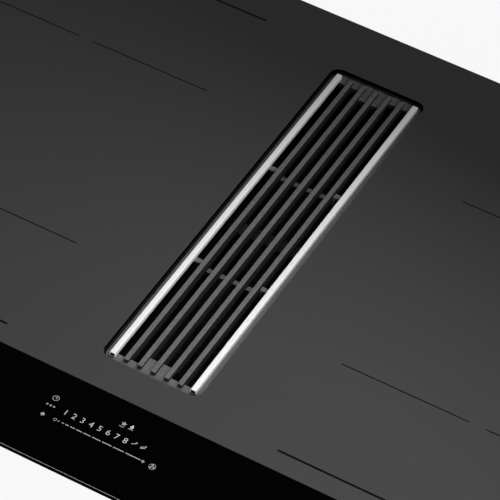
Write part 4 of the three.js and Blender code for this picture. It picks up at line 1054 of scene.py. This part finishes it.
class COOKTOP_OT_tray(bpy.types.Operator):
    """Galvanised tray, black frame under the glass, worktop tape, hold-down springs and screws"""
    bl_idname = "cooktop.tray"
    bl_label = "Steel tray"

    def execute(self, context):
        finished("hob_tray", "zinc_sheet", 0.5, 2, 40)
        finished("glass_frame", "black_sheet", 0.4, 2, 40)
        finished("worktop_tape", "seal_rubber", 0.5, 2, 50)
        for row in ("front", "back"):
            for side, _ in SIDES:
                finished(f"hold_down_spring_{row}_{side}", "spring_steel", 0.25, 2, 50, 60)
        self.beads()
        level = HEIGHT - 11.5            # on the upright wall of the frame
        for side, sign in SIDES:
            row = [(sign * 400, y, level) for y in (-210, -60, 60, 210)]
            screws(f"frame_screws_{side}", row, (sign, 0, 0))
        for side, sign in (("front", -1), ("back", 1)):
            row = [(x, sign * 242.5, level) for x in (-340, -170, 0, 170, 340)]
            screws(f"frame_screws_{side}", row, (0, sign, 0))
        return {"FINISHED"}

    @staticmethod
    def beads():
        """Stiffening beads pressed down into the tray floor where nothing hangs below it."""
        places = ((-235, -170, 250, 9), (-235, 30, 250, 9), (-235, 95, 250, 9), (352, 20, 9, 300),
                  (235, -170, 190, 9))
        beads = [plan_slab("bead", *place, 53.8, 1.4, 4.4, 5) for place in places]
        dress(smooth(ease(joined("tray_beads", beads), 0.9, 3, 60)), "zinc_sheet", "hob", "galvanised_steel")


class COOKTOP_OT_terminal(bpy.types.Operator):
    """Terminal box with its cover, two screws and the ribbed gland for the supply cable"""
    bl_idname = "cooktop.terminal"
    bl_label = "Terminal box"

    def execute(self, context):
        finished("terminal_box", "moulded_grey", 0.8, 3, 50)
        finished("terminal_cover", "moulded_grey", 0.6, 3, 50)
        low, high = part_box("terminal_cover")
        middle = (low + high) / MM / 2
        screws("terminal_screws", [(middle.x + sign * 38, middle.y, low.z / MM) for _, sign in SIDES],
               (0, 0, -1), radius=2.8)
        self.gland()
        return {"FINISHED"}

    @staticmethod
    def gland():
        """Six-sided nut with a ribbed dome that steps in towards the cable."""
        low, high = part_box("cable_gland")
        centre = Vector(((low.x + high.x) / 2, low.y, (low.z + high.z) / 2))
        bore, nut_radius, nut_height = 6.9, 10.9, 6.3
        nut = turned("gland_nut", [(bore, 0), (nut_radius, 0), (nut_radius, nut_height), (bore, nut_height),
                                   (bore, 0)], 6, centre, (0, 1, 0))
        profile = [(bore, 6.0), (9.3, 6.0)]
        for i in range(5):
            rib, groove, start = 9.3 - 0.22 * i, 8.6 - 0.22 * i, 6.7 + 1.2 * i
            profile += [(rib, start), (rib, start + 0.8), (groove, start + 0.9), (groove, start + 1.15)]
        profile += [(8.1, 13.2), (7.9, 15.4), (7.5, 15.9), (bore, 15.9), (bore, 6.0)]
        dome = turned("gland_dome", profile, 36, centre, (0, 1, 0))
        piece = joined("cable_gland_finished", [ease(nut, 0.4, 2, 50), dome])
        dress(smooth(piece, 40), "smooth_black", "hob", "black_plastic", "cable_gland")


# ---------------------------------------------------------------------------
# Blower
# ---------------------------------------------------------------------------

class COOKTOP_OT_blower(bpy.types.Operator):
    """Scroll, inlet plate, impeller, motor, duct spigot and its two flaps"""
    bl_idname = "cooktop.blower"
    bl_label = "Blower"

    def execute(self, context):
        finished("scroll_housing", "moulded_black", 0.7, 2, 40, 30)
        finished("scroll_inlet_plate", "moulded_black", 0.4, 2, 40, 30)
        finished("impeller", "moulded_grey", 0, shade=50)
        finished("motor_rotor", "zinc_sheet", 0.4, 2, 40)
        finished("motor_stator", "black_sheet", 0.4, 2, 40)
        finished("blower_mount_ring", "seal_rubber", 0.8, 3, 30, 60)
        finished("outlet_spigot", "moulded_black", 0.6, 2, 40)
        finished("flap_pin", "bright_steel", 0.4, 2, 50)
        for half in ("upper", "lower"):
            finished(f"outlet_flap_{half}", "moulded_grey", 0.3, 2, 50)
        self.bosses()
        self.spigot_rings()
        low, high = (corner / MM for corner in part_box("outlet_spigot"))
        flange_y, inset = 205.05, 3
        corners = [(x, flange_y, z) for x in (low.x + inset, high.x - inset)
                   for z in (low.z + inset, high.z - inset)]
        screws("spigot_screws", corners, (0, 1, 0), radius=1.8, rise=1.0)
        return {"FINISHED"}

    @staticmethod
    def bosses():
        """Screw bosses on the outer wall of the scroll."""
        low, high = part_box("scroll_housing")
        bosses, heads = [], []
        for degrees, reach in ((250, 118), (290, 122), (330, 127), (0, 131.5)):
            angle = math.radians(degrees)
            x, y = SCROLL_X + reach * math.cos(angle), SCROLL_Y + reach * math.sin(angle)
            bosses.append(post("boss", (x * MM, y * MM, (low.z + high.z) / 2), 4 * MM,
                               high.z - low.z - 1 * MM, 24))
            heads.append((x, y, high.z / MM - 0.5))
        dress(smooth(ease(joined("scroll_bosses", bosses), 0.5, 2, 50)), "moulded_black", "hob",
              "black_plastic")
        screws("scroll_screws", heads, (0, 0, 1), radius=2.2)

    @staticmethod
    def spigot_rings():
        """Low ribs round the duct spigot that grip the duct."""
        blocks = []
        for name, width, height, thick, radius in (("ring", 220, 87, 2.2, 10.5),
                                                   ("ring_bore", 217.2, 84.2, 8, 9.3)):
            block = plan_slab(name, OUTLET_X, 0, width, thick, OUTLET_DEPTH - height / 2, height)
            edit(block)
            choose(block, "EDGE", lambda e: abs(e.verts[0].co.y - e.verts[1].co.y) > 1e-4
                   and (e.verts[0].co - e.verts[1].co).xz.length < 1e-6)
            bpy.ops.mesh.bevel(offset=radius * MM, segments=5, affect="EDGES")
            blocks.append(leave(block))
        hoop = ease(carve(*blocks), 0.3, 2, 60)
        rings = joined("spigot_rings", copies(hoop, [(0, y, 0) for y in (222, 232, 242)]))
        dress(smooth(rings), "moulded_black", "hob", "black_plastic")


# ---------------------------------------------------------------------------
# Induction gear
# ---------------------------------------------------------------------------

class COOKTOP_OT_induction(bpy.types.Operator):
    """Litz coils, their carriers and plates, the inverter boards, heat sinks and cooling fans"""
    bl_idname = "cooktop.induction"
    bl_label = "Induction gear"

    def execute(self, context):
        for row in ("front", "back"):
            for side, _ in SIDES:
                self.winding(f"coil_winding_{row}_{side}", context.scene.cooktop_sizes.litz_turns)
                finished(f"coil_former_{row}_{side}", "ferrite_black", 0.4, 2, 40)
        for side, _ in SIDES:
            finished(f"coil_plate_{side}", "rolled_aluminium", 0.3, 2, 50)
            board = finished(f"power_board_{side}", "circuit_green", 0.3, 2, 50)
            board_face = depth(45.2) + 0.2 * MM
            coat_faces(board, "smooth_black", lambda at, normal: at.z > board_face)
            coat_faces(board, "bright_steel", lambda at, normal: at.z > board_face and normal.z > 0.9)
            finished(f"heat_sink_{side}", "rolled_aluminium", 0.2, 2, 50)
            finished(f"cooling_fan_{side}", "smooth_black", 0.4, 2, 50)
            finished(f"cooling_fan_rotor_{side}", "smooth_black", 0.2, 2, 50)
        finished("touch_carrier", "moulded_grey", 0.3, 2, 50)
        keys = finished("touch_board", "circuit_green", 0.2, 2, 50)
        key_foot = depth(12.05) + 3.4 * MM
        coat_faces(keys, "bright_steel", lambda at, normal: at.z > key_foot)
        return {"FINISHED"}

    @staticmethod
    def winding(node, turns):
        """Rounded-square spiral of twisted wire in the space of the wound band."""
        low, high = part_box(node)
        centre, half = (low + high) / 2, (high - low) / 2
        wire_radius, gap, steps_a_turn = 1.42 * MM, 1 * MM, 48
        squareness, shrink = 0.6, 0.985
        hole = 26 * MM + wire_radius
        steps = turns * steps_a_turn
        points = []
        for i in range(steps + 1):
            angle = 2 * math.pi * i / steps_a_turn
            square = 1 + squareness * ((math.cos(angle) ** 4 + math.sin(angle) ** 4) ** -0.25 - 1)
            across, along = (min((hole + (reach - wire_radius - gap - hole) * i / steps) * square, reach)
                             for reach in half.xy)
            points.append((centre.x + across * math.cos(angle) * shrink,
                           centre.y + along * math.sin(angle) * shrink, centre.z, 1))
        curve = bpy.data.curves.new(f"{node}_path", "CURVE")
        curve.dimensions = "3D"
        path = curve.splines.new("POLY")
        path.points.add(len(points) - 1)
        for spot, place in zip(path.points, points):
            spot.co = place
        curve.bevel_depth = wire_radius
        curve.bevel_resolution = 1
        curve.use_fill_caps = True
        coil = bpy.data.objects.new(f"{node}_finished", curve)
        bpy.context.scene.collection.objects.link(coil)
        hold(coil)
        bpy.ops.object.convert(target="MESH")
        weld(named(f"{node}_finished"))
        dress(smooth(coil, 60), "litz_copper", "hob", "copper_litz", node)


# ---------------------------------------------------------------------------
# Studio
# ---------------------------------------------------------------------------

class COOKTOP_OT_stage(bpy.types.Operator):
    """Pale floor, soft lamps, plain light all round and the camera"""
    bl_idname = "cooktop.stage"
    bl_label = "Studio"

    def execute(self, context):
        self.floor()
        self.lamps(context.scene.cooktop_sizes.lamp_distance)
        self.backdrop(context.scene)
        self.camera(context.scene)
        context.scene.view_settings.view_transform = "Standard"
        return {"FINISHED"}

    @staticmethod
    def floor():
        hold()
        bpy.ops.mesh.primitive_plane_add(size=14, location=(0, 0, -0.0005))
        floor = named("studio_floor")
        paper = bpy.data.materials.new("studio_floor")
        paper.use_nodes = True
        tree = paper.node_tree
        shader = tree.nodes["Principled BSDF"]
        for label, value in (("Base Color", (0.82, 0.82, 0.82, 1)), ("Roughness", 0.9),
                             ("Specular IOR Level", 0.1)):
            shader.inputs[label].default_value = value
        glow = wire(tree, "ShaderNodeEmission", Color=(1, 1, 1, 1), Strength=1.0)
        seen = wire(tree, "ShaderNodeLightPath").outputs["Is Camera Ray"]
        mix = wire(tree, "ShaderNodeMixShader", n0=reckon(tree, "MULTIPLY", seen, 0.92),
                   n1=shader.outputs[0], n2=glow.outputs[0])
        tree.links.new(mix.outputs[0], tree.nodes["Material Output"].inputs["Surface"])
        floor.data.materials.append(paper)

    @staticmethod
    def lamps(height):
        """A main lamp over the glass, one from the front, and low ones that show the casing."""
        low, strip = (0, 0, 0.09), (1.4, 0.16)
        for name, place, aim, power, size in (
                ("main_lamp", (0.155, 0.074, GLASS_TOP + height), (-0.285, -3.0, GLASS_TOP), 4.62,
                 (0.4, 0.4)),
                ("front_lamp", (0.95, -1.2, GLASS_TOP + 0.85), (0, 0, GLASS_TOP), 11.4, (0.7, 0.5)),
                ("low_lamp_front", (-0.9, -1.3, 0.09), low, 3.2, strip),
                ("low_lamp_right", (1.5, -0.4, 0.09), low, 2.8, strip),
                ("low_lamp_back", (0.5, 1.5, 0.09), low, 2.8, strip),
                ("low_lamp_left", (-1.4, 0.6, 0.09), low, 2.8, strip)):
            light = bpy.data.lights.new(name, "AREA")
            light.shape = "RECTANGLE"
            light.size, light.size_y = size
            light.energy = power
            lamp = bpy.data.objects.new(name, light)
            lamp.location = place
            lamp.rotation_euler = (Vector(aim) - Vector(place)).to_track_quat("-Z", "Y").to_euler()
            lamp.visible_camera = False
            lamp.visible_glossy = name != "main_lamp"
            bpy.context.scene.collection.objects.link(lamp)

    @staticmethod
    def backdrop(scene):
        """Plain light all round, white to the camera, and paler low down than overhead in the gloss."""
        world = bpy.data.worlds.new("studio")
        scene.world = world
        world.use_nodes = True
        tree = world.node_tree
        light = tree.nodes["Background"]
        light.inputs["Color"].default_value = (1, 1, 1, 1)
        light.inputs["Strength"].default_value = 0.22
        ways = wire(tree, "ShaderNodeLightPath").outputs
        around = wire(tree, "ShaderNodeTexCoord").outputs["Generated"]
        height = wire(tree, "ShaderNodeSeparateXYZ", Vector=around).outputs["Z"]
        fade = spread(tree, height, From_Min=0.1, From_Max=0.55, To_Min=0.6, To_Max=0.015)
        mirrored = wire(tree, "ShaderNodeBackground", Color=(1, 1, 1, 1), Strength=fade)
        white = wire(tree, "ShaderNodeBackground", Color=(1, 1, 1, 1), Strength=0.96)
        shown = light
        for way, other in (("Is Glossy Ray", mirrored), ("Is Camera Ray", white)):
            shown = wire(tree, "ShaderNodeMixShader", n0=ways[way], n1=shown.outputs[0],
                         n2=other.outputs[0])
        tree.links.new(shown.outputs[0], tree.nodes["World Output"].inputs["Surface"])

    @staticmethod
    def camera(scene):
        """Tele lens from the front right at 46 degrees, with a slight roll."""
        azimuth, elevation, roll = (math.radians(a) for a in (25.4, 46.04, 5.259))
        back = Vector((math.sin(azimuth) * math.cos(elevation), -math.cos(azimuth) * math.cos(elevation),
                       math.sin(elevation)))
        right = (-back).cross(Vector((0, 0, 1))).normalized()
        up = right.cross(-back)
        across = math.cos(roll) * right + math.sin(roll) * up
        upward = math.cos(roll) * up - math.sin(roll) * right
        lens = bpy.data.cameras.new("studio_camera")
        lens.sensor_width = 36
        lens.lens = 233.65
        lens.clip_end = 50
        camera = bpy.data.objects.new("studio_camera", lens)
        turn_to = Matrix((across, upward, back)).transposed()
        camera.matrix_world = Matrix.Translation((0.7073, -1.4926, GLASS_TOP + 1.7088)) @ turn_to.to_4x4()
        scene.collection.objects.link(camera)
        scene.camera = camera


# ---------------------------------------------------------------------------
# Panel and run
# ---------------------------------------------------------------------------

OPERATORS = (COOKTOP_OT_stage, COOKTOP_OT_glass, COOKTOP_OT_zone_lines, COOKTOP_OT_control_print,
             COOKTOP_OT_grille, COOKTOP_OT_cassette, COOKTOP_OT_casing, COOKTOP_OT_tray,
             COOKTOP_OT_terminal, COOKTOP_OT_blower, COOKTOP_OT_induction)


class COOKTOP_PT_panel(bpy.types.Panel):
    """Sizes, colours and pieces of the cooktop"""
    bl_idname = "COOKTOP_PT_panel"
    bl_label = "Downdraft Cooktop"
    bl_space_type = "VIEW_3D"
    bl_region_type = "UI"
    bl_category = "Cooktop"

    def draw(self, context):
        for title, group_name in (("Sizes", "cooktop_sizes"), ("Looks", "cooktop_looks")):
            box = self.layout.box()
            box.label(text=title)
            values = getattr(context.scene, group_name)
            for key in values.__annotations__:
                box.prop(values, key)
        for operator in OPERATORS:
            self.layout.operator(operator.bl_idname)


CLASSES = (CooktopSizes, CooktopLooks, *OPERATORS, COOKTOP_PT_panel)


def register():
    for kind in CLASSES:
        bpy.utils.register_class(kind)
    bpy.types.Scene.cooktop_sizes = bpy.props.PointerProperty(type=CooktopSizes)
    bpy.types.Scene.cooktop_looks = bpy.props.PointerProperty(type=CooktopLooks)


def unregister():
    del bpy.types.Scene.cooktop_looks
    del bpy.types.Scene.cooktop_sizes
    for kind in reversed(CLASSES):
        bpy.utils.unregister_class(kind)


def main():
    register()
    for operator in OPERATORS:
        getattr(bpy.ops.cooktop, operator.bl_idname.split(".")[1])()


if __name__ == "__main__":
    main()
